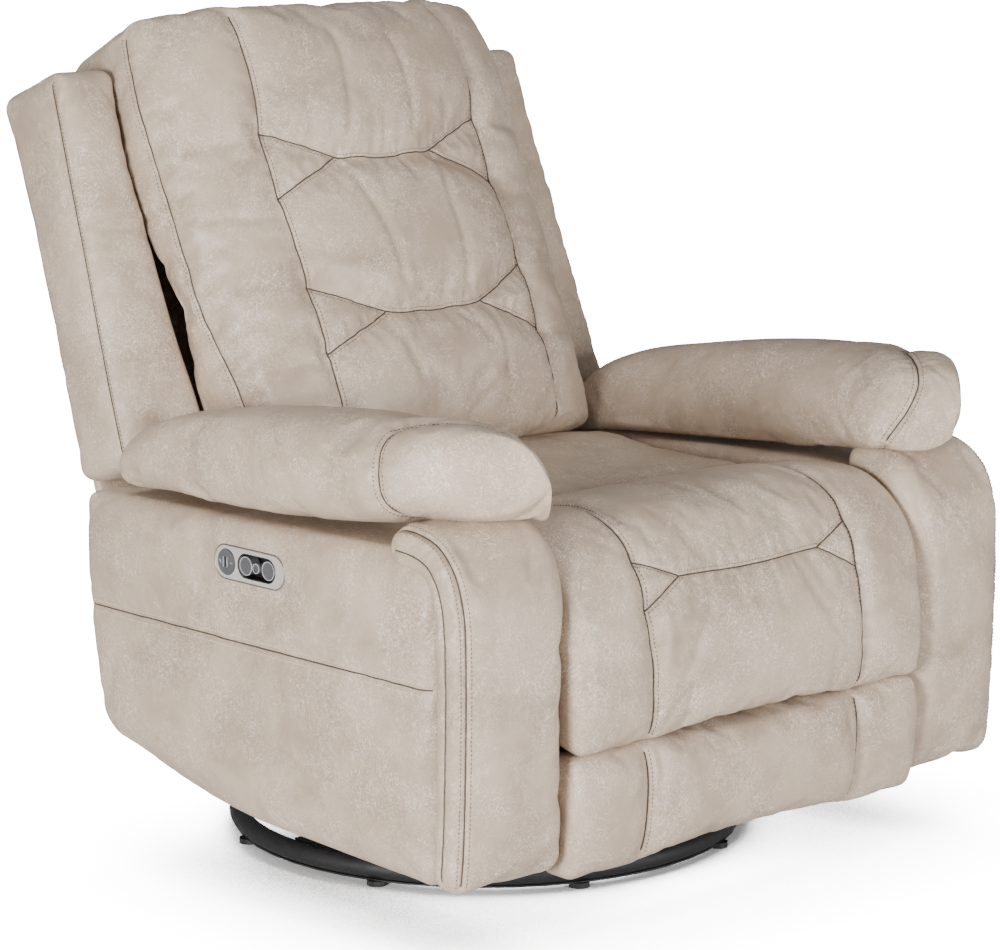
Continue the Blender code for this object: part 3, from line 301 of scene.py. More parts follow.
def rounded_grid(half, radius, step):
    """A closed box of even quads with round edges: its points and faces."""
    counts = [max(3, round(2 * h / step)) for h in half]
    index, flat, faces = {}, [], []
    for axis in range(3):
        a, b = (axis + 1) % 3, (axis + 2) % 3
        for end in (0, counts[axis]):
            for i in range(counts[a]):
                for j in range(counts[b]):
                    quad = []
                    for di, dj in ((0, 0), (1, 0), (1, 1), (0, 1)):
                        key = [0, 0, 0]
                        key[axis], key[a], key[b] = end, i + di, j + dj
                        key = tuple(key)
                        if key not in index:
                            index[key] = len(flat)
                            flat.append([-h + 2 * h * k / n for h, k, n in zip(half, key, counts)])
                        quad.append(index[key])
                    faces.append(quad if end else quad[::-1])
    flat, half = np.array(flat), np.array(half)
    core = np.clip(flat, radius - half, half - radius)
    out = flat - core
    return core + out / np.linalg.norm(out, axis=1, keepdims=True) * radius, faces


def row(x, y, z):
    return np.stack([x, y + SHIFT, z], 1)


def add_piece(name, points, faces, material):
    mesh = bpy.data.meshes.new(name)
    mesh.from_pydata([tuple(p) for p in points], [], faces)
    mesh.materials.append(material)
    shape = bmesh.new()
    shape.from_mesh(mesh)
    bmesh.ops.recalc_face_normals(shape, faces=shape.faces)
    shape.to_mesh(mesh)
    shape.free()
    mesh.shade_smooth()
    piece = bpy.data.objects.new(name, mesh)
    bpy.context.collection.objects.link(piece)
    return piece


def coordinates(mesh):
    found = np.empty(len(mesh.vertices) * 3)
    mesh.vertices.foreach_get("co", found)
    return found.reshape(-1, 3)


def set_coordinates(mesh, points):
    mesh.vertices.foreach_set("co", np.asarray(points, float).ravel())
    mesh.update()


def tree_of(piece):
    mesh = piece.data
    return BVHTree.FromPolygons([v.co for v in mesh.vertices], [p.vertices for p in mesh.polygons])


def dense(points, step=0.003):
    """A smooth line through the points, with a point every step."""
    points = np.array(points, float)
    lengths = np.concatenate([[0], np.cumsum(np.linalg.norm(np.diff(points, axis=0), axis=1))])
    if len(points) == 2:
        count = max(2, int(lengths[-1] / step))
        return points[0] + (points[1] - points[0]) * np.linspace(0, 1, count)[:, None]
    at = np.linspace(0, lengths[-1], max(2, int(lengths[-1] / step)))
    return np.stack([smooth(lengths, points[:, k])(at) for k in range(3)], 1)


def snapped(tree, points, towards=None):
    """The points moved onto the surface, and its normals there."""
    found, normals = [], []
    for point in points:
        hit = None
        if towards is not None:
            away = Vector(towards).normalized()
            hit = tree.ray_cast(Vector(point) - away * 0.4, away)
        if hit is None or hit[0] is None:
            hit = tree.find_nearest(Vector(point))
        found.append(hit[0])
        normals.append(hit[1])
    return np.array(found), np.array(normals)


def near_line(points, lines):
    """Each point's distance to the nearest line, and how far along that line it is."""
    samples = np.vstack(lines)
    along = np.concatenate([np.arange(len(line)) * 0.003 + 7.3 * k for k, line in enumerate(lines)])
    tree = KDTree(len(samples))
    for i, sample in enumerate(samples):
        tree.insert(sample, i)
    tree.balance()
    distance, place = np.empty(len(points)), np.empty(len(points))
    for i, point in enumerate(points):
        _, k, d = tree.find(point)
        distance[i], place[i] = d, along[k]
    return distance, place


def puff(piece, sewn, pressure=4.0, grow=0.02, cap=0.016, hold=None, stiffness=15.0):
    """Blows the cover out by cloth simulation, held where it is sewn or fixed to its board."""
    before = coordinates(piece.data)
    held = np.zeros(len(before), bool)
    if len(sewn):
        held |= near_line(before, sewn)[0] < 0.0045
    if hold is not None:
        held |= hold(before)
    group = piece.vertex_groups.new(name="held")
    group.add([int(i) for i in np.nonzero(held)[0]], 1.0, "REPLACE")
    cloth = piece.modifiers.new("cover", "CLOTH")
    settings = cloth.settings
    settings.quality = 4
    settings.mass = 0.3
    settings.use_pressure = True
    settings.uniform_pressure_force = pressure
    settings.tension_stiffness = settings.compression_stiffness = stiffness
    settings.shear_stiffness = stiffness / 2
    settings.bending_stiffness = 0.6
    settings.effector_weights.gravity = 0
    settings.vertex_group_mass = "held"
    settings.shrink_min = -grow
    cloth.point_cache.frame_start, cloth.point_cache.frame_end = 1, 20
    scene = bpy.context.scene
    for number in range(1, 21):
        scene.frame_set(number)
    graph = bpy.context.evaluated_depsgraph_get()
    after = coordinates(piece.evaluated_get(graph).data)
    scene.frame_set(1)
    move = after - before
    length = np.linalg.norm(move, axis=1, keepdims=True)
    move *= cap * np.tanh(length / cap) / np.maximum(length, 1e-9)
    piece.modifiers.remove(cloth)
    piece.vertex_groups.clear()
    set_coordinates(piece.data, before + move)


def subdivide(piece):
    fine = piece.modifiers.new("fine", "SUBSURF")
    fine.levels = fine.render_levels = 1
    graph = bpy.context.evaluated_depsgraph_get()
    mesh = bpy.data.meshes.new_from_object(piece.evaluated_get(graph))
    mesh.name = piece.name
    piece.modifiers.clear()
    piece.data = mesh


def refine(piece, lines, reach=0.012):
    """Splits the faces near the lines into four, so that narrow grooves come out clean."""
    shape = bmesh.new()
    shape.from_mesh(piece.data)
    middles = np.array([face.calc_center_median() for face in shape.faces])
    near = near_line(middles, lines)[0] < reach
    edges = {edge for face, close in zip(shape.faces, near) if close for edge in face.edges}
    bmesh.ops.subdivide_edges(shape, edges=list(edges), cuts=1, use_grid_fill=True)
    shape.to_mesh(piece.data)
    shape.free()
    piece.data.shade_smooth()


def settle(piece, lines):
    """The lines as they lie on the blown-out cover, evened out: their points and normals."""
    tree = tree_of(piece)
    seams = []
    for line in lines:
        pair = snapped(tree, line)
        for values in pair:
            for _ in range(4):
                values[1:-1] = (values[:-2] + 2 * values[1:-1] + values[2:]) / 4
        seams.append((pair[0], pair[1] / np.linalg.norm(pair[1], axis=1, keepdims=True)))
    return seams


def laid(tree, points, normals, lift=0.0):
    """The points dropped along their normals onto the surface."""
    drop = []
    for point, out in zip(points, normals):
        distance = tree.ray_cast(Vector(point + out * 0.012), Vector(-out), 0.04)[3]
        drop.append(0.012 if distance is None else distance)
    drop = np.array(drop)
    for _ in range(3):
        drop[1:-1] = (drop[:-2] + 2 * drop[1:-1] + drop[2:]) / 4
    return points + normals * (0.012 + lift - drop)[:, None]


def sew(piece, seams, depth=0.0022, width=0.0026, trough=0.004, reach=0.016, pucker=0.0007):
    """Pulls the cover in along its seams, with small puckers across them."""
    mesh = piece.data
    points = coordinates(mesh)
    normals = np.array([v.normal for v in mesh.vertices])
    distance, along = near_line(points, [line for line, _ in seams])
    fold = np.sin(along * 260 + 2.1 * np.sin(along * 71)) * np.sin(along * 97 + 1.3)
    pull = (depth * np.exp(-((distance / width) ** 2)) + trough * np.exp(-((distance / reach) ** 2))
            + pucker * fold * (distance / 0.008) * np.exp(-distance / 0.012))
    set_coordinates(mesh, points - normals * pull[:, None])


def stitch_group():
    """Geometry nodes: a row of short thread stitches along each line of the mesh."""
    group = bpy.data.node_groups.new("stitch_rows", "GeometryNodeTree")
    group.interface.new_socket("Geometry", in_out="INPUT", socket_type="NodeSocketGeometry")
    for label, kind, value in (("Pitch", "NodeSocketFloat", 0.0062), ("Length", "NodeSocketFloat", 0.0044),
                               ("Thickness", "NodeSocketFloat", 0.0011), ("Seed", "NodeSocketInt", 3)):
        group.interface.new_socket(label, in_out="INPUT", socket_type=kind).default_value = value
    group.interface.new_socket("Material", in_out="INPUT", socket_type="NodeSocketMaterial")
    group.interface.new_socket("Geometry", in_out="OUTPUT", socket_type="NodeSocketGeometry")
    given, result = group.nodes.new("NodeGroupInput"), group.nodes.new("NodeGroupOutput")
    rows = add_node(group, "GeometryNodeMeshToCurve", [("Mesh", given.outputs["Geometry"])])
    even = add_node(group, "GeometryNodeResampleCurve",
                    [("Curve", rows.outputs[0]), ("Length", given.outputs["Pitch"])], mode="LENGTH")
    out = add_node(group, "GeometryNodeInputNamedAttribute", data_type="FLOAT_VECTOR", values={"Name": "out"})
    along = add_node(group, "GeometryNodeInputTangent")
    turn = add_node(group, "FunctionNodeAxesToRotation", [("Primary Axis", out.outputs[0]),
                                                         ("Secondary Axis", along.outputs[0])],
                    primary_axis="Z", secondary_axis="X")
    thread = add_node(group, "GeometryNodeMeshUVSphere", values={"Segments": 6, "Rings": 4, "Radius": 0.5})
    size = add_node(group, "ShaderNodeCombineXYZ",
                    [("X", given.outputs["Length"]), ("Y", given.outputs["Thickness"]),
                     ("Z", given.outputs["Thickness"])])
    spread = add_node(group, "FunctionNodeRandomValue", [("Seed", given.outputs["Seed"])],
                      data_type="FLOAT_VECTOR", values={0: (0.9, 0.9, 0.9), 1: (1.1, 1.1, 1.1)})
    scaled = add_node(group, "ShaderNodeVectorMath", [(0, size.outputs[0]), (1, spread.outputs[0])],
                      operation="MULTIPLY")
    placed = add_node(group, "GeometryNodeInstanceOnPoints",
                      [("Points", even.outputs[0]), ("Instance", thread.outputs[0]),
                       ("Rotation", turn.outputs[0]), ("Scale", scaled.outputs[0])])
    real = add_node(group, "GeometryNodeRealizeInstances", [("Geometry", placed.outputs[0])])
    coloured = add_node(group, "GeometryNodeSetMaterial", [("Geometry", real.outputs[0]),
                                                           ("Material", given.outputs["Material"])])
    group.links.new(result.inputs[0], coloured.outputs[0])
    return group


STITCHES = stitch_group()


def stitch(piece, name, rows, material=THREAD, pitch=0.0050, thickness=0.0011):
    """Stitches beside each (seam, offset) pair, lying on the piece's surface."""
    tree = tree_of(piece)
    spots, outs = [], []
    for (points, normals), offset in rows:
        side = np.cross(normals, np.gradient(points, axis=0))
        side /= np.maximum(np.linalg.norm(side, axis=1, keepdims=True), 1e-9)
        spots.append(laid(tree, points + side * offset, normals, 0.0003))
        outs.append(normals)
    drawn = add_lines(name, spots)
    out = drawn.data.attributes.new("out", "FLOAT_VECTOR", "POINT")
    out.data.foreach_set("vector", np.vstack(outs).ravel())
    return made_by_nodes(drawn, STITCHES, Pitch=pitch, Length=pitch * 0.7, Thickness=thickness,
                         Material=material)


def welt_group():
    """Geometry nodes: a thin round edge along each line of the mesh."""
    group = bpy.data.node_groups.new("seam_edges", "GeometryNodeTree")
    group.interface.new_socket("Geometry", in_out="INPUT", socket_type="NodeSocketGeometry")
    group.interface.new_socket("Radius", in_out="INPUT", socket_type="NodeSocketFloat").default_value = 0.0007
    group.interface.new_socket("Material", in_out="INPUT", socket_type="NodeSocketMaterial")
    group.interface.new_socket("Geometry", in_out="OUTPUT", socket_type="NodeSocketGeometry")
    given, result = group.nodes.new("NodeGroupInput"), group.nodes.new("NodeGroupOutput")
    rows = add_node(group, "GeometryNodeMeshToCurve", [("Mesh", given.outputs["Geometry"])])
    ring = add_node(group, "GeometryNodeCurvePrimitiveCircle", [("Radius", given.outputs["Radius"])],
                    values={"Resolution": 6})
    tube = add_node(group, "GeometryNodeCurveToMesh",
                    [("Curve", rows.outputs[0]), ("Profile Curve", ring.outputs[0])],
                    values={"Fill Caps": True})
    coloured = add_node(group, "GeometryNodeSetMaterial", [("Geometry", tube.outputs[0]),
                                                           ("Material", given.outputs["Material"])])
    group.links.new(result.inputs[0], coloured.outputs[0])
    return group


WELTS = welt_group()


def made_by_nodes(thing, group, **values):
    """The mesh that a geometry node group makes of the object, with its named inputs set."""
    nodes = thing.modifiers.new(group.name, "NODES")
    nodes.node_group = group
    for socket in group.interface.items_tree:
        if socket.in_out == "INPUT" and socket.name in values:
            nodes[socket.identifier] = values[socket.name]
    graph = bpy.context.evaluated_depsgraph_get()
    made = bpy.data.meshes.new_from_object(thing.evaluated_get(graph))
    made.name = thing.name
    thing.modifiers.clear()
    thing.data = made
    made.shade_smooth()
    return thing


def add_lines(name, lines):
    points, edges = [], []
    for line in lines:
        start = len(points)
        points += [tuple(p) for p in line]
        edges += [(start + k, start + k + 1) for k in range(len(line) - 1)]
    mesh = bpy.data.meshes.new(name)
    mesh.from_pydata(points, edges, [])
    drawn = bpy.data.objects.new(name, mesh)
    bpy.context.collection.objects.link(drawn)
    return drawn


def seam_shadow_line(piece, name, seams, radius=0.0010):
    """A dark line of painted shade where two panels meet, standing for the shadow in the seam, half sunk in the
    piece's surface.
    """
    tree = tree_of(piece)
    drawn = add_lines(name, [laid(tree, *seam, 0.0002) for seam in seams])
    return made_by_nodes(drawn, WELTS, Radius=radius, Material=SEAM_SHADOW)


TILT = math.radians(20)
AXLE_Y, AXLE_Z = 0.170, 0.400


def on_back(x, y, z):
    """Back coordinates, z up the back from the recline axle, as places in the row frame."""
    across, up = math.cos(TILT), math.sin(TILT)
    return row(x, AXLE_Y + y * across + z * up, AXLE_Z - y * up + z * across)


BACK_HALF = 0.302
BACK_LOW, BACK_HIGH = 0.050, 0.664
crown = smooth([0.05, 0.10, 0.176, 0.263, 0.377, 0.464, 0.538, 0.59, 0.62, 0.65, 0.664],
               [-0.160, -0.170, -0.170, -0.163, -0.146, -0.138, -0.143, -0.134, -0.122, -0.103, -0.092])
edge = smooth([0.05, 0.149, 0.286, 0.353, 0.463, 0.573, 0.628, 0.65],
              [-0.085, -0.078, -0.055, -0.053, -0.045, -0.036, -0.030, -0.028])
back_rear = smooth([0.05, 0.40, 0.45, 0.580, 0.592, 0.602, 0.664],
                   [0.016, 0.016, 0.040, 0.040, 0.062, 0.088, 0.090])
back_width = smooth([0.05, 0.15, 0.26, 0.36, 0.60, 0.664], [0.284, 0.286, 0.298, 0.3035, 0.302, 0.292])


def place_back(local):
    u, v, w = local.T
    z = (BACK_LOW + BACK_HIGH) / 2 + v
    share = np.clip(np.abs(u) / BACK_HALF, 0, 1)
    front = edge(z) + (crown(z) - edge(z)) * (1 - share**2.6) ** 0.55
    t = (w + 0.09) / 0.18
    y = back_rear(z) * (1 - t) + front * t
    top = np.clip((z - 0.60) / 0.05, 0, 1)
    z = z - 0.022 * top * np.clip((y + 0.10) / 0.18, 0, 1)
    return on_back(u / BACK_HALF * back_width(z), y, z)


points, faces = rounded_grid((BACK_HALF, (BACK_HIGH - BACK_LOW) / 2, 0.09), 0.022, 0.0072)
back = add_piece("backrest_cushion", place_back(points), faces, LEATHER)
into_back = on_back(np.zeros(2), np.array([0.0, 1.0]), np.zeros(2))
into_back = into_back[1] - into_back[0]


def drawn_on(piece, line, towards):
    return snapped(tree_of(piece), dense(line), towards)[0]


def back_line(*spots):
    x, z = np.array(spots, float).T
    return drawn_on(back, on_back(x, np.full(len(x), -0.2), z), into_back)


back_seams = []
for side in (-1, 1):
    back_seams.append(back_line((side * 0.184, 0.055), (side * 0.185, 0.20), (side * 0.186, 0.40),
                                (side * 0.184, 0.55), (side * 0.176, 0.625), (side * 0.172, 0.642)))
yokes = []
for junction, high, low in ((0.4365, 0.477, 0.392), (0.2235, 0.2695, 0.181)):
    yokes.append(back_line((-0.083, junction), (-0.04, junction - 0.003), (0.04, junction - 0.003),
                           (0.083, junction)))
    for side in (-1, 1):
        yokes.append(back_line((side * 0.083, junction), (side * 0.185, high)))
        yokes.append(back_line((side * 0.083, junction), (side * 0.185, low)))
boxing = []
for side in (-1, 1):
    z = np.linspace(0.07, 0.635, 12)
    boxing.append(drawn_on(back, on_back(side * (back_width(z) - 0.002), edge(z) - 0.002, z), None))
puff(back, back_seams + yokes + boxing, pressure=5.0, grow=0.035, cap=0.020,
     hold=lambda p: (p - on_back(np.zeros(1), np.full(1, 0.004), np.zeros(1))) @ into_back > 0)
subdivide(back)
refine(back, back_seams + yokes + boxing)
back_seams, yokes, boxing = settle(back, back_seams), settle(back, yokes), settle(back, boxing)
gathers = settle(back, [
    back_line((-0.083, 0.432), (-0.066, 0.385), (-0.052, 0.325), (-0.050, 0.262)),
    back_line((0.083, 0.432), (0.074, 0.375), (0.070, 0.305), (0.058, 0.250)),
    back_line((-0.088, 0.219), (-0.078, 0.180), (-0.066, 0.130)),
    back_line((0.088, 0.219), (0.092, 0.180), (0.082, 0.120)),
    back_line((-0.045, 0.600), (-0.050, 0.540), (-0.058, 0.470)),
    back_line((0.045, 0.590), (0.052, 0.530), (0.050, 0.465)),
])
sew(back, gathers, depth=0.0, trough=0.0030, reach=0.0075, pucker=0.0)
sew(back, yokes, depth=0.0025, trough=0.007, reach=0.022, pucker=0.0012)
sew(back, back_seams, trough=0.003, reach=0.014)
sew(back, boxing, depth=0.003, width=0.003, trough=0.0)
stitched = stitch(back, "backrest_stitches",
                  [(seam, 0.0045) for seam in yokes] + [(back_seams[0], -0.005), (back_seams[1], 0.005)]
                  + [(seam, 0.0045) for seam in boxing])
back_seam_shade = seam_shadow_line(back, "backrest_seams", back_seams + yokes + boxing)
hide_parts("back_cushion", "head_cushion")
for piece in (back, stitched, back_seam_shade):
    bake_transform(piece)


# ---------------------------------------------------------------- seat and upper legrest
# The seat's cover runs forward over the front roll and down the legrest as one waterfall.
# Two long seams and a yoke seam over the roll shape it.
def path_frame(ys, zs):
    """A path through the points: its length, and its place and outward normal at each length."""
    path = dense(np.stack([np.zeros(len(ys)), ys, zs], 1), step=0.002)[:, 1:]
    steps = np.concatenate([[0], np.cumsum(np.linalg.norm(np.diff(path, axis=0), axis=1))])
    tangent = np.gradient(path, steps, axis=0)
    tangent /= np.linalg.norm(tangent, axis=1, keepdims=True)
    normal = np.stack([tangent[:, 1], -tangent[:, 0]], 1)

    def at(s):
        place = np.stack([np.interp(s, steps, path[:, k]) for k in (0, 1)], 1)
        out = np.stack([np.interp(s, steps, normal[:, k]) for k in (0, 1)], 1)
        return place, out / np.linalg.norm(out, axis=1, keepdims=True)

    return steps[-1], at


SEAT_HALF, SEAT_THICK = 0.300, 0.058
seat_length, seat_path = path_frame(
    [0.150, 0.078, -0.05, -0.18, -0.26, -0.32, -0.355, -0.392, -0.427, -0.452, -0.468, -0.478, -0.483,
     -0.482, -0.476],
    [0.450, 0.466, 0.459, 0.459, 0.472, 0.4855, 0.4885, 0.483, 0.464, 0.434, 0.395, 0.345, 0.295,
     0.255, 0.2245])


def place_seat(local):
    u, v, w = local.T
    spot, out = seat_path(seat_length / 2 - v)
    drop = np.interp(spot[:, 1], [0.40, 0.47], [0.002, 0.014]) * np.clip(np.abs(u) / SEAT_HALF, 0, 1) ** 5
    thinning = 1 - 0.6 * np.clip((spot[:, 0] - 0.05) / 0.08, 0, 1)
    depth = (SEAT_THICK / 2 - w) * thinning + drop * (w > 0)
    return row(u, spot[:, 0] - out[:, 0] * depth, spot[:, 1] - out[:, 1] * depth)


points, faces = rounded_grid((SEAT_HALF, seat_length / 2, SEAT_THICK / 2), 0.015, 0.0072)
seat = add_piece("seat_and_legrest_cover", place_seat(points), faces, LEATHER)


def seat_line(*spots):
    """Seat seams, drawn by x and the distance up from the legrest's lower edge."""
    x, s = np.array(spots, float).T
    spot, out = seat_path(seat_length - s)
    return drawn_on(seat, row(x, spot[:, 0] + out[:, 0] * 0.003, spot[:, 1] + out[:, 1] * 0.003), None)


def up_front(y, z):
    """The distance up from the legrest's lower edge of the front's nearest point to (y, z)."""
    s = np.linspace(0, seat_length, 400)
    spot = seat_path(seat_length - s)[0]
    return float(s[np.argmin((spot[:, 0] - y) ** 2 + (spot[:, 1] - z) ** 2)])


junction, high, low = up_front(-0.465, 0.415), up_front(-0.454, 0.442), up_front(-0.480, 0.384)
crest_end = up_front(-0.25, 0.47)
seat_seams = [seat_line((side * 0.184, 0.006), (side * 0.185, 0.2), (side * 0.186, crest_end - 0.02),
                        (side * 0.186, crest_end + 0.03)) for side in (-1, 1)]
seat_yoke = [seat_line((-0.121, junction), (0, junction - 0.004), (0.121, junction))]
for side in (-1, 1):
    seat_yoke.append(seat_line((side * 0.121, junction), (side * 0.185, high)))
    seat_yoke.append(seat_line((side * 0.121, junction), (side * 0.185, low)))
seat_cross = [seat_line((-0.29, crest_end + 0.03), (0, crest_end + 0.03), (0.29, crest_end + 0.03))]
puff(seat, seat_seams + seat_yoke + seat_cross, pressure=4.0, grow=0.02, cap=0.014,
     hold=lambda p: (np.abs(p[:, 0]) < 0.27) & (p[:, 2] < 0.43) & (p[:, 1] > -0.432 + SHIFT))
subdivide(seat)
refine(seat, seat_seams + seat_yoke)
seat_seams, seat_yoke = settle(seat, seat_seams), settle(seat, seat_yoke)
seat_cross = settle(seat, seat_cross)
sew(seat, seat_seams, trough=0.003, reach=0.012)
sew(seat, seat_yoke, trough=0.003, reach=0.014)
sew(seat, seat_cross, depth=0.004, width=0.005, trough=0.012, reach=0.03)
seat_thread = stitch(seat, "seat_stitches", [(seam, 0.0045) for seam in seat_yoke]
                     + [(seat_seams[0], -0.005), (seat_seams[1], 0.005)])
seat_seam_shade = seam_shadow_line(seat, "seat_seam_edges", seat_yoke + seat_seams)
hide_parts("seat_cushion", "seat_front_roll", "legrest_upper_pad")
for piece in (seat, seat_thread, seat_seam_shade):
    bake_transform(piece)


# ---------------------------------------------------------------- lower legrest pad
# A narrower pad below a deep fold, with the same two seams running down it.
def place_lower(local):
    u, v, w = local.T
    z = 0.1515 + v
    front = smooth([0.079, 0.10, 0.15, 0.20, 0.224], [-0.460, -0.468, -0.476, -0.475, -0.468])(z)
    back_of_pad = -0.411
    t = (w + 0.03) / 0.06
    return row(u, back_of_pad * (1 - t) + front * t, z)


points, faces = rounded_grid((0.300, 0.0725, 0.03), 0.011, 0.0065)
lower = add_piece("legrest_lower_cover", place_lower(points), faces, LEATHER)
lower_seams = []
for side in (-1, 1):
    line = dense([(side * 0.185, -0.48 + SHIFT, 0.092), (side * 0.185, -0.48 + SHIFT, 0.215)])
    lower_seams.append(snapped(tree_of(lower), line, (0, 1, 0))[0])
puff(lower, lower_seams, pressure=4.0, grow=0.02, cap=0.010, hold=lambda p: p[:, 1] > -0.414 + SHIFT)
subdivide(lower)
refine(lower, lower_seams)
lower_seams = settle(lower, lower_seams)
sew(lower, lower_seams, trough=0.003, reach=0.012)
lower_thread = stitch(lower, "legrest_stitches", [(lower_seams[0], -0.005), (lower_seams[1], 0.005)])
legrest_seam_shade = seam_shadow_line(lower, "legrest_seam_edges", lower_seams)
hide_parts("legrest_lower_pad")
for piece in (lower, lower_thread, legrest_seam_shade):
    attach(piece, "legrest")


# ---------------------------------------------------------------- arm pillows
# Long soft pillows on top of the arms. A double-stitched seam rings the front outer quarter,
# then runs forward over the top to the nose.
def mirrored(piece, name):
    """A copy of the piece for the sitter's left, with its faces turned outwards again."""
    mesh = piece.data.copy()
    mesh.name = name
    mesh.transform(Matrix.Diagonal((-1, 1, 1, 1)))
    mesh.flip_normals()
    other = bpy.data.objects.new(name, mesh)
    bpy.context.collection.objects.link(other)
    return other


pillow_top = smooth([-0.480, -0.470, -0.44, -0.40, -0.336, -0.25, -0.108, 0.0, 0.10, 0.145, 0.176],
                    [0.568, 0.581, 0.598, 0.609, 0.611, 0.607, 0.594, 0.578, 0.560, 0.543, 0.520])
pillow_foot = smooth([-0.480, -0.46, -0.40, -0.323, -0.183, 0.1, 0.176],
                     [0.532, 0.520, 0.510, 0.502, 0.490, 0.476, 0.470])
pillow_half = smooth([-0.480, -0.472, -0.46, -0.44, -0.42, -0.40, -0.38, -0.34, -0.28, 0.0, 0.13, 0.176],
                     [0.010, 0.016, 0.026, 0.046, 0.065, 0.080, 0.087, 0.090, 0.090, 0.090, 0.088, 0.080])
pillow_shift = smooth([-0.480, -0.44, -0.40, -0.36, 0.176], [0.027, 0.021, 0.012, 0.0, 0.0])
PILLOW_X, PILLOW_HALF = -0.384, 0.091


def place_pillow(local):
    u, v, w = local.T
    y = -0.152 + v
    t = (w + 0.05) / 0.10
    share = np.clip(np.abs(u) / PILLOW_HALF, 0, 1)
    bulge = 0.55 + 0.45 * np.sqrt(np.clip(1 - share**2.4, 0, 1))
    middle = 0.42
    foot, top = pillow_foot(y), pillow_top(y)
    z = foot + (top - foot) * (middle + (t - middle) * bulge)
    nose = np.clip((-y - 0.33) / 0.13, 0, 1)
    z = z - 0.030 * np.clip(u / PILLOW_HALF, 0, 1) ** 2 - 0.020 * nose * np.clip(t, 0, 1) * u / PILLOW_HALF
    return row(PILLOW_X + pillow_shift(y) + u / PILLOW_HALF * pillow_half(y), y, z)


points, faces = rounded_grid((PILLOW_HALF, 0.328, 0.05), 0.034, 0.0065)
pillow = add_piece("arm_pillow_cover_right", place_pillow(points), faces, LEATHER)
ring_line = [(-0.430, -0.352, 0.490), (-0.472, -0.340, 0.520), (-0.476, -0.335, 0.560),
             (-0.455, -0.330, 0.600), (-0.418, -0.345, 0.618), (-0.385, -0.380, 0.617),
             (-0.355, -0.415, 0.606), (-0.330, -0.436, 0.585), (-0.316, -0.436, 0.560),
             (-0.308, -0.420, 0.530), (-0.312, -0.395, 0.505)]
pillow_seams = [drawn_on(pillow, [(x, y + SHIFT, z) for x, y, z in ring_line], None)]
puff(pillow, pillow_seams, pressure=4.0, grow=0.02, cap=0.009,
     hold=lambda p: p[:, 2] < 0.482 + 0.1 * np.clip(-p[:, 1] - 0.2, 0, 1))
subdivide(pillow)
refine(pillow, pillow_seams)
pillow_seams = settle(pillow, pillow_seams)
sew(pillow, pillow_seams, trough=0.003, reach=0.012, pucker=0.0012)
pillow_thread = stitch(pillow, "arm_pillow_stitches_right", [(pillow_seams[0], o) for o in (-0.006, 0.006)])
pillow_seam_shade = seam_shadow_line(pillow, "arm_pillow_seam_edge_right", pillow_seams)


def both_sides(cover, trims, node, body, change_right=None):
    """Puts a right-hand cover and its trims on their body, and their mirror images on the left."""
    for side in ("left", "right"):
        pieces = [cover, *trims]
        if side == "left":
            pieces = [mirrored(piece, piece.name.replace("right", "left")) for piece in pieces]
        elif change_right:
            change_right(cover)
        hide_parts(f"{node}_{side}")
        for piece in pieces:
            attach(piece, body)


both_sides(pillow, [pillow_thread, pillow_seam_shade], "arm_pillow", "chair")


# ---------------------------------------------------------------- arm front pads
# A padded strip bent over the front of each arm, hooked over the side panel at its top. A
# double-stitched seam runs down its rounded outer corner.
PAD_X, PAD_HALF, PAD_THICK = -0.3885, 0.0865, 0.054
pad_length, pad_path = path_frame(
    [-0.338, -0.385, -0.425, -0.450, -0.463, -0.468, -0.468, -0.466, -0.462, -0.458],
    [0.505, 0.504, 0.490, 0.462, 0.425, 0.36, 0.28, 0.20, 0.13, 0.090])


def place_pad(local):
    u, v, w = local.T
    spot, out = pad_path(pad_length / 2 - v)
    depth = PAD_THICK / 2 - w
    return row(PAD_X + u, spot[:, 0] - out[:, 0] * depth, spot[:, 1] - out[:, 1] * depth)


points, faces = rounded_grid((PAD_HALF, pad_length / 2, PAD_THICK / 2), 0.025, 0.0060)
pad = add_piece("arm_front_cover_right", place_pad(points), faces, LEATHER)
s = np.linspace(0.012, pad_length - 0.012, 14)
spot, out = pad_path(s)
corner = row(np.full(14, PAD_X - PAD_HALF + 0.012), *(spot - out * 0.004).T)
piping = row(np.full(14, PAD_X - PAD_HALF - 0.002), *(spot - out * 0.030).T)
pad_seams = [drawn_on(pad, corner, None)]
pad_rear_seams = [drawn_on(pad, piping, None)]
puff(pad, pad_seams + pad_rear_seams, pressure=4.0, grow=0.015, cap=0.008,
     hold=lambda p: (p[:, 1] > -0.414 + SHIFT) & (p[:, 2] < 0.47))
subdivide(pad)
refine(pad, pad_seams + pad_rear_seams)
pad_seams, pad_rear_seams = settle(pad, pad_seams), settle(pad, pad_rear_seams)
sew(pad, pad_seams, trough=0.0025, reach=0.010)
sew(pad, pad_rear_seams, depth=0.003, width=0.004, trough=0.001, reach=0.01)
pad_thread = stitch(pad, "arm_front_stitches_right", [(pad_seams[0], o) for o in (-0.006, 0.006)])
pad_seam_shade = seam_shadow_line(pad, "arm_front_seam_edges_right", pad_seams + pad_rear_seams)
both_sides(pad, [pad_thread, pad_seam_shade], "arm_front_pad", "chair")


# ---------------------------------------------------------------- arm boxes
# The upholstered sides: a lightly padded panel with a level double-stitched seam, over a box
# that is cut away underneath towards the rear.
arm_foot = smooth([-0.41, -0.32, -0.18, -0.10, 0.012, 0.09, 0.15],
                  [0.092, 0.093, 0.098, 0.101, 0.115, 0.133, 0.150])
arm_rear = smooth([0.0, 0.08, 0.20, 0.36, 0.52, 0.70, 0.88, 1.0],
                  [0.160, 0.199, 0.215, 0.224, 0.232, 0.236, 0.236, 0.232])
ARM_X, ARM_HALF = -0.3855, 0.081


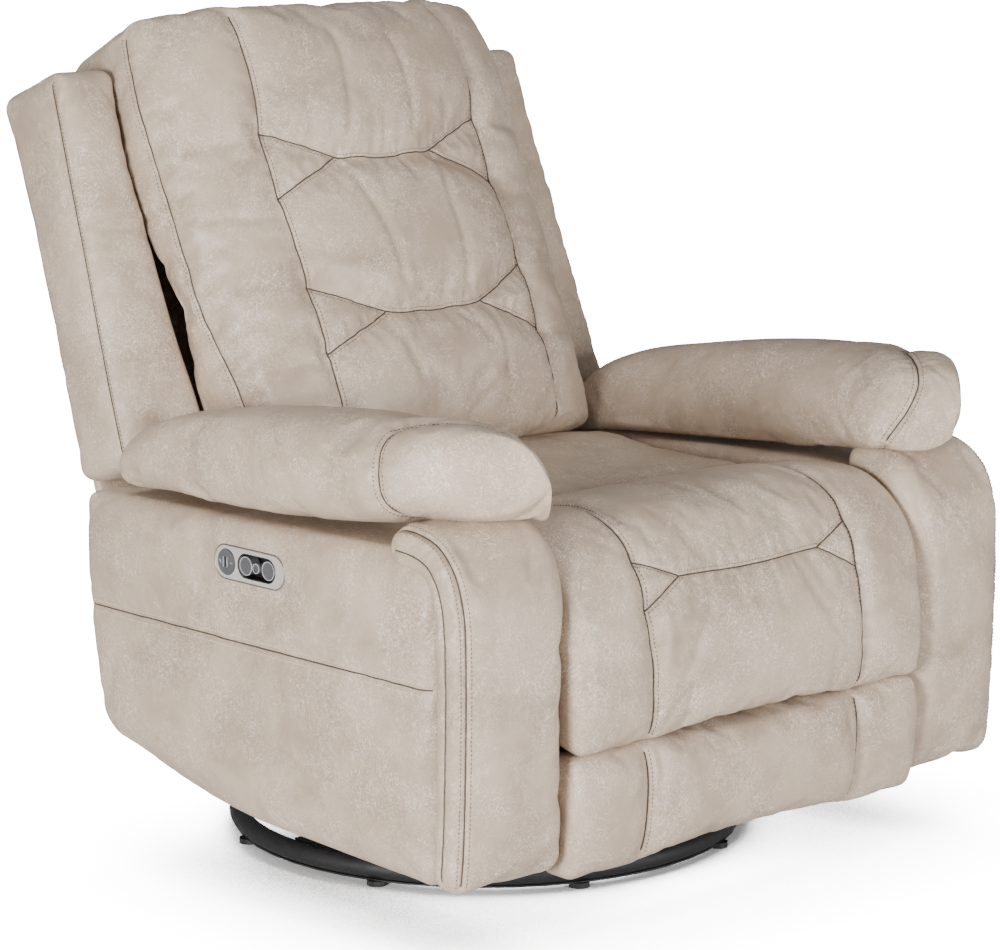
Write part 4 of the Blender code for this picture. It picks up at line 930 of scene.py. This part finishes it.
def place_arm(local):
    u, v, w = local.T
    t = (w + 0.19) / 0.38
    share = (v + 0.32) / 0.64
    y = -0.4095 + share * (arm_rear(t) + 0.4095)
    top = 0.4645 + 0.010 * np.clip(1 - share * 1.1, 0, 1)
    z = arm_foot(np.minimum(y, 0.15)) * (1 - t) + top * t
    return row(ARM_X + u, y, z)


points, faces = rounded_grid((ARM_HALF, 0.32, 0.19), 0.018, 0.0085)
arm = add_piece("arm_box_cover_right", place_arm(points), faces, LEATHER)
side_seams = [drawn_on(arm, [(-0.47, y + SHIFT, 0.321) for y in (-0.405, -0.2, 0.0, 0.22)], (1, 0, 0))]
puff(arm, side_seams, pressure=4.0, grow=0.008, cap=0.009,
     hold=lambda p: (p[:, 0] > -0.455)
     | (np.hypot((p[:, 1] - SHIFT + 0.093) / 2.4, p[:, 2] - 0.416) < 0.04))
subdivide(arm)
refine(arm, side_seams)
side_seams = settle(arm, side_seams)
sew(arm, side_seams, trough=0.002, reach=0.012)
arm_thread = stitch(arm, "arm_side_stitches_right", [(side_seams[0], o) for o in (-0.0065, 0.0065)],
                    PALE_THREAD)
arm_seam_shade = seam_shadow_line(arm, "arm_side_seam_edge_right", side_seams)
PANEL_PLACE_Y, PANEL_PLACE_Z, PANEL_X = -0.093, 0.416, -0.4673


def slot_distance(y, z, half_length, middle=PANEL_PLACE_Y):
    """Distance from the level middle line of a slot that is rounded at both ends."""
    return np.hypot(np.maximum(np.abs(y - middle) - half_length, 0), z - PANEL_PLACE_Z)


def cut_pocket(cover):
    """Sinks the side under the control panel, so that its switches lie free in their well."""
    y = np.linspace(-0.135, -0.050, 30)
    refine(cover, [np.stack([np.full(30, -0.4665), y + SHIFT, np.full(30, PANEL_PLACE_Z)], 1)], 0.034)
    points = coordinates(cover.data)
    inside = (points[:, 0] < -0.45) & (slot_distance(points[:, 1] - SHIFT, points[:, 2], 0.044) < 0.0185)
    points[inside, 0] = -0.4400
    set_coordinates(cover.data, points)


both_sides(arm, [arm_thread, arm_seam_shade], "arm_box", "chair", cut_pocket)


# ---------------------------------------------------------------- wings
# Padded wings up both sides of the backrest, each with a stitched seam at its front corner.
wing_reach = smooth([0.09, 0.16, 0.25, 0.35, 0.45, 0.55, 0.61],
                    [0.424, 0.422, 0.418, 0.412, 0.407, 0.402, 0.399])


def place_wing(local):
    u, v, w = local.T
    z = 0.350 + v
    inner = back_width(z) + 0.003
    share = (u + 0.06) / 0.12
    x = inner + share * (wing_reach(z) - inner)
    t = (w + 0.06) / 0.12
    y = np.interp(z, [0.10, 0.60], [0.104, 0.119]) * (1 - t) - 0.014 * t
    return on_back(-x, y, z)


points, faces = rounded_grid((0.060, 0.255, 0.060), 0.020, 0.0068)
wing = add_piece("wing_cover_right", place_wing(points), faces, LEATHER)
z = np.linspace(0.105, 0.592, 10)
wing_seams = [drawn_on(wing, on_back(-(wing_reach(z) - 0.002), np.full(10, 0.004), z), None)]
puff(wing, wing_seams, pressure=4.0, grow=0.015, cap=0.006, hold=lambda p: p[:, 0] > -0.312)
subdivide(wing)
refine(wing, wing_seams)
wing_seams = settle(wing, wing_seams)
sew(wing, wing_seams, trough=0.003, reach=0.011)
wing_thread = stitch(wing, "wing_stitches_right", [(wing_seams[0], -0.0045)])
wing_seam_shade = seam_shadow_line(wing, "wing_seam_edge_right", wing_seams)
both_sides(wing, [wing_thread, wing_seam_shade], "wing", "backrest")


# ---------------------------------------------------------------- rear of the back
# A flat upholstered panel closes the back between the wings, with a level seam across it.
def place_rear(local):
    u, v, w = local.T
    z = 0.335 + v
    return on_back(u / 0.40 * (wing_reach(z) - 0.030), 0.1105 - w, z)


points, faces = rounded_grid((0.40, 0.267, 0.009), 0.0085, 0.010)
rear = add_piece("back_rear_cover_skin", place_rear(points), faces, LEATHER)
level = on_back(np.linspace(-0.36, 0.36, 8), np.full(8, 0.13), np.full(8, 0.46))
rear_seams = [drawn_on(rear, level, -into_back)]
subdivide(rear)
rear_seams = settle(rear, rear_seams)
sew(rear, rear_seams, trough=0.001, reach=0.01)
rear_thread = stitch(rear, "back_rear_stitches", [(rear_seams[0], o) for o in (-0.006, 0.006)])
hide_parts("back_rear_cover")
for piece in (rear, rear_thread):
    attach(piece, "backrest")


# ---------------------------------------------------------------- rear skirt
# The panel below the back, wrapped round a thin board. It rises behind the foot of the back, so
# that the mechanism is hidden when the chair is upright.
SKIRT_Y, SKIRT_LOW, SKIRT_HIGH = 0.213, 0.1375, 0.385
points, faces = rounded_grid((0.302, (SKIRT_HIGH - SKIRT_LOW) / 2, 0.0078), 0.007, 0.010)
skirt = add_piece("rear_skirt_skin", row(points[:, 0], SKIRT_Y - points[:, 2],
                                         (SKIRT_LOW + SKIRT_HIGH) / 2 + points[:, 1]), faces, LEATHER)
subdivide(skirt)
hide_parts("rear_skirt_panel")
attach(skirt, "chair")


# ---------------------------------------------------------------- control panel
# An oval satin plate with a darker polished edge. At its rear is a round USB port with printed
# marks, and in its black well are two round rockers with a small button between them.
def rim(name, body, middle, half_length, radius, tube, material, x=PANEL_X):
    """A round edging along a slot outline on the panel."""
    turn = np.linspace(-math.pi / 2, math.pi / 2, 25)
    y = np.concatenate([half_length + radius * np.cos(turn), -half_length - radius * np.cos(turn)])
    z = np.concatenate([radius * np.sin(turn), -radius * np.sin(turn)])
    y, z = np.append(y, y[0]), np.append(z, z[0])
    drawn = add_lines(name, [row(np.full(len(y), x), middle + y, PANEL_PLACE_Z + z)])
    edging = made_by_nodes(drawn, WELTS, Radius=tube, Material=material)
    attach(edging, body)


rim("panel_edge", "chair", PANEL_PLACE_Y, 0.044, 0.0205, 0.0011, SATIN_EDGE, PANEL_X + 0.0006)
rim("switch_well_edge", "chair", -0.1065, 0.020, 0.0145, 0.0006, DARK_PLASTIC, PANEL_X + 0.0002)
rim("usb_port_edge", "chair", -0.051, 0.0, 0.0155, 0.0006, DARK_PLASTIC, PANEL_X + 0.0002)
rim("recline_rocker_edge", "recline_rocker", -0.0860, 0.0, 0.0108, 0.0004, PRINT, PANEL_X + 0.0008)
rim("headrest_rocker_edge", "headrest_rocker", -0.1270, 0.0, 0.0108, 0.0004, PRINT, PANEL_X + 0.0008)
rim("home_button_edge", "home_button", -0.1065, 0.0, 0.0056, 0.0004, PRINT, PANEL_X - 0.0008)
prints = [[(-0.0535, -0.0062), (-0.0535, 0.0062)], [(-0.0465, -0.0062), (-0.0465, 0.0062)],
          [(-0.0595, 0.0), (-0.0625, 0.0)], [(-0.0425, -0.002), (-0.0395, 0.002)]]
print_x = np.full(2, PANEL_X - 0.0014)
marks = add_lines("usb_port_marks",
                  [row(print_x, *(np.array(line).T + [[0], [PANEL_PLACE_Z]])) for line in prints])
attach(made_by_nodes(marks, WELTS, Radius=0.00045, Material=PRINT), "chair")


# ---------------------------------------------------------------- base ring
# A round steel tube on small glides, powder coated black like the cross inside it.
def ring_mesh(name, radius, tube, height, material, around=160, section=20):
    turn, lap = np.meshgrid(np.arange(around) * 2 * np.pi / around, np.arange(section) * 2 * np.pi / section,
                            indexing="ij")
    reach = radius + tube * np.cos(lap)
    spots = row((reach * np.cos(turn)).ravel(), (reach * np.sin(turn)).ravel(),
                (height + tube * np.sin(lap)).ravel())
    quads = [(i * section + k, (i + 1) % around * section + k, (i + 1) % around * section + (k + 1) % section,
              i * section + (k + 1) % section) for i in range(around) for k in range(section)]
    return add_piece(name, spots, quads, material)


ring = ring_mesh("base_ring_tube", 0.3225, 0.0125, 0.0205, BLACK_STEEL)
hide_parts("base_ring")
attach(ring, "base")


# ---------------------------------------------------------------- mechanism and frame
# Everything under the seat keeps its solid shape and takes its real finish, except the back frame
# and the headrest and legrest boards: they are near-black, painted shade for the gaps between the covers.
for name in ("back_frame", "headrest_board", "legrest_board"):
    frame["nodes"][name].data.materials.clear()
    frame["nodes"][name].data.materials.append(GAP_SHADE_BLACK)
FINISHES = {
    "black_steel": BLACK_STEEL, "zinc_steel": ZINC, "timber": TIMBER, "satin_metal": SATIN,
    "dark_plastic": DARK_PLASTIC, "grey_plastic": GREY_PLASTIC, "upholstery": LEATHER,
}
for part in frame["record"]["subparts"]:
    node = frame["nodes"][part["node"]]
    if not node.hide_render and GAP_SHADE_BLACK not in list(node.data.materials):
        node.data.materials.clear()
        node.data.materials.append(FINISHES[part["material_slot"]])
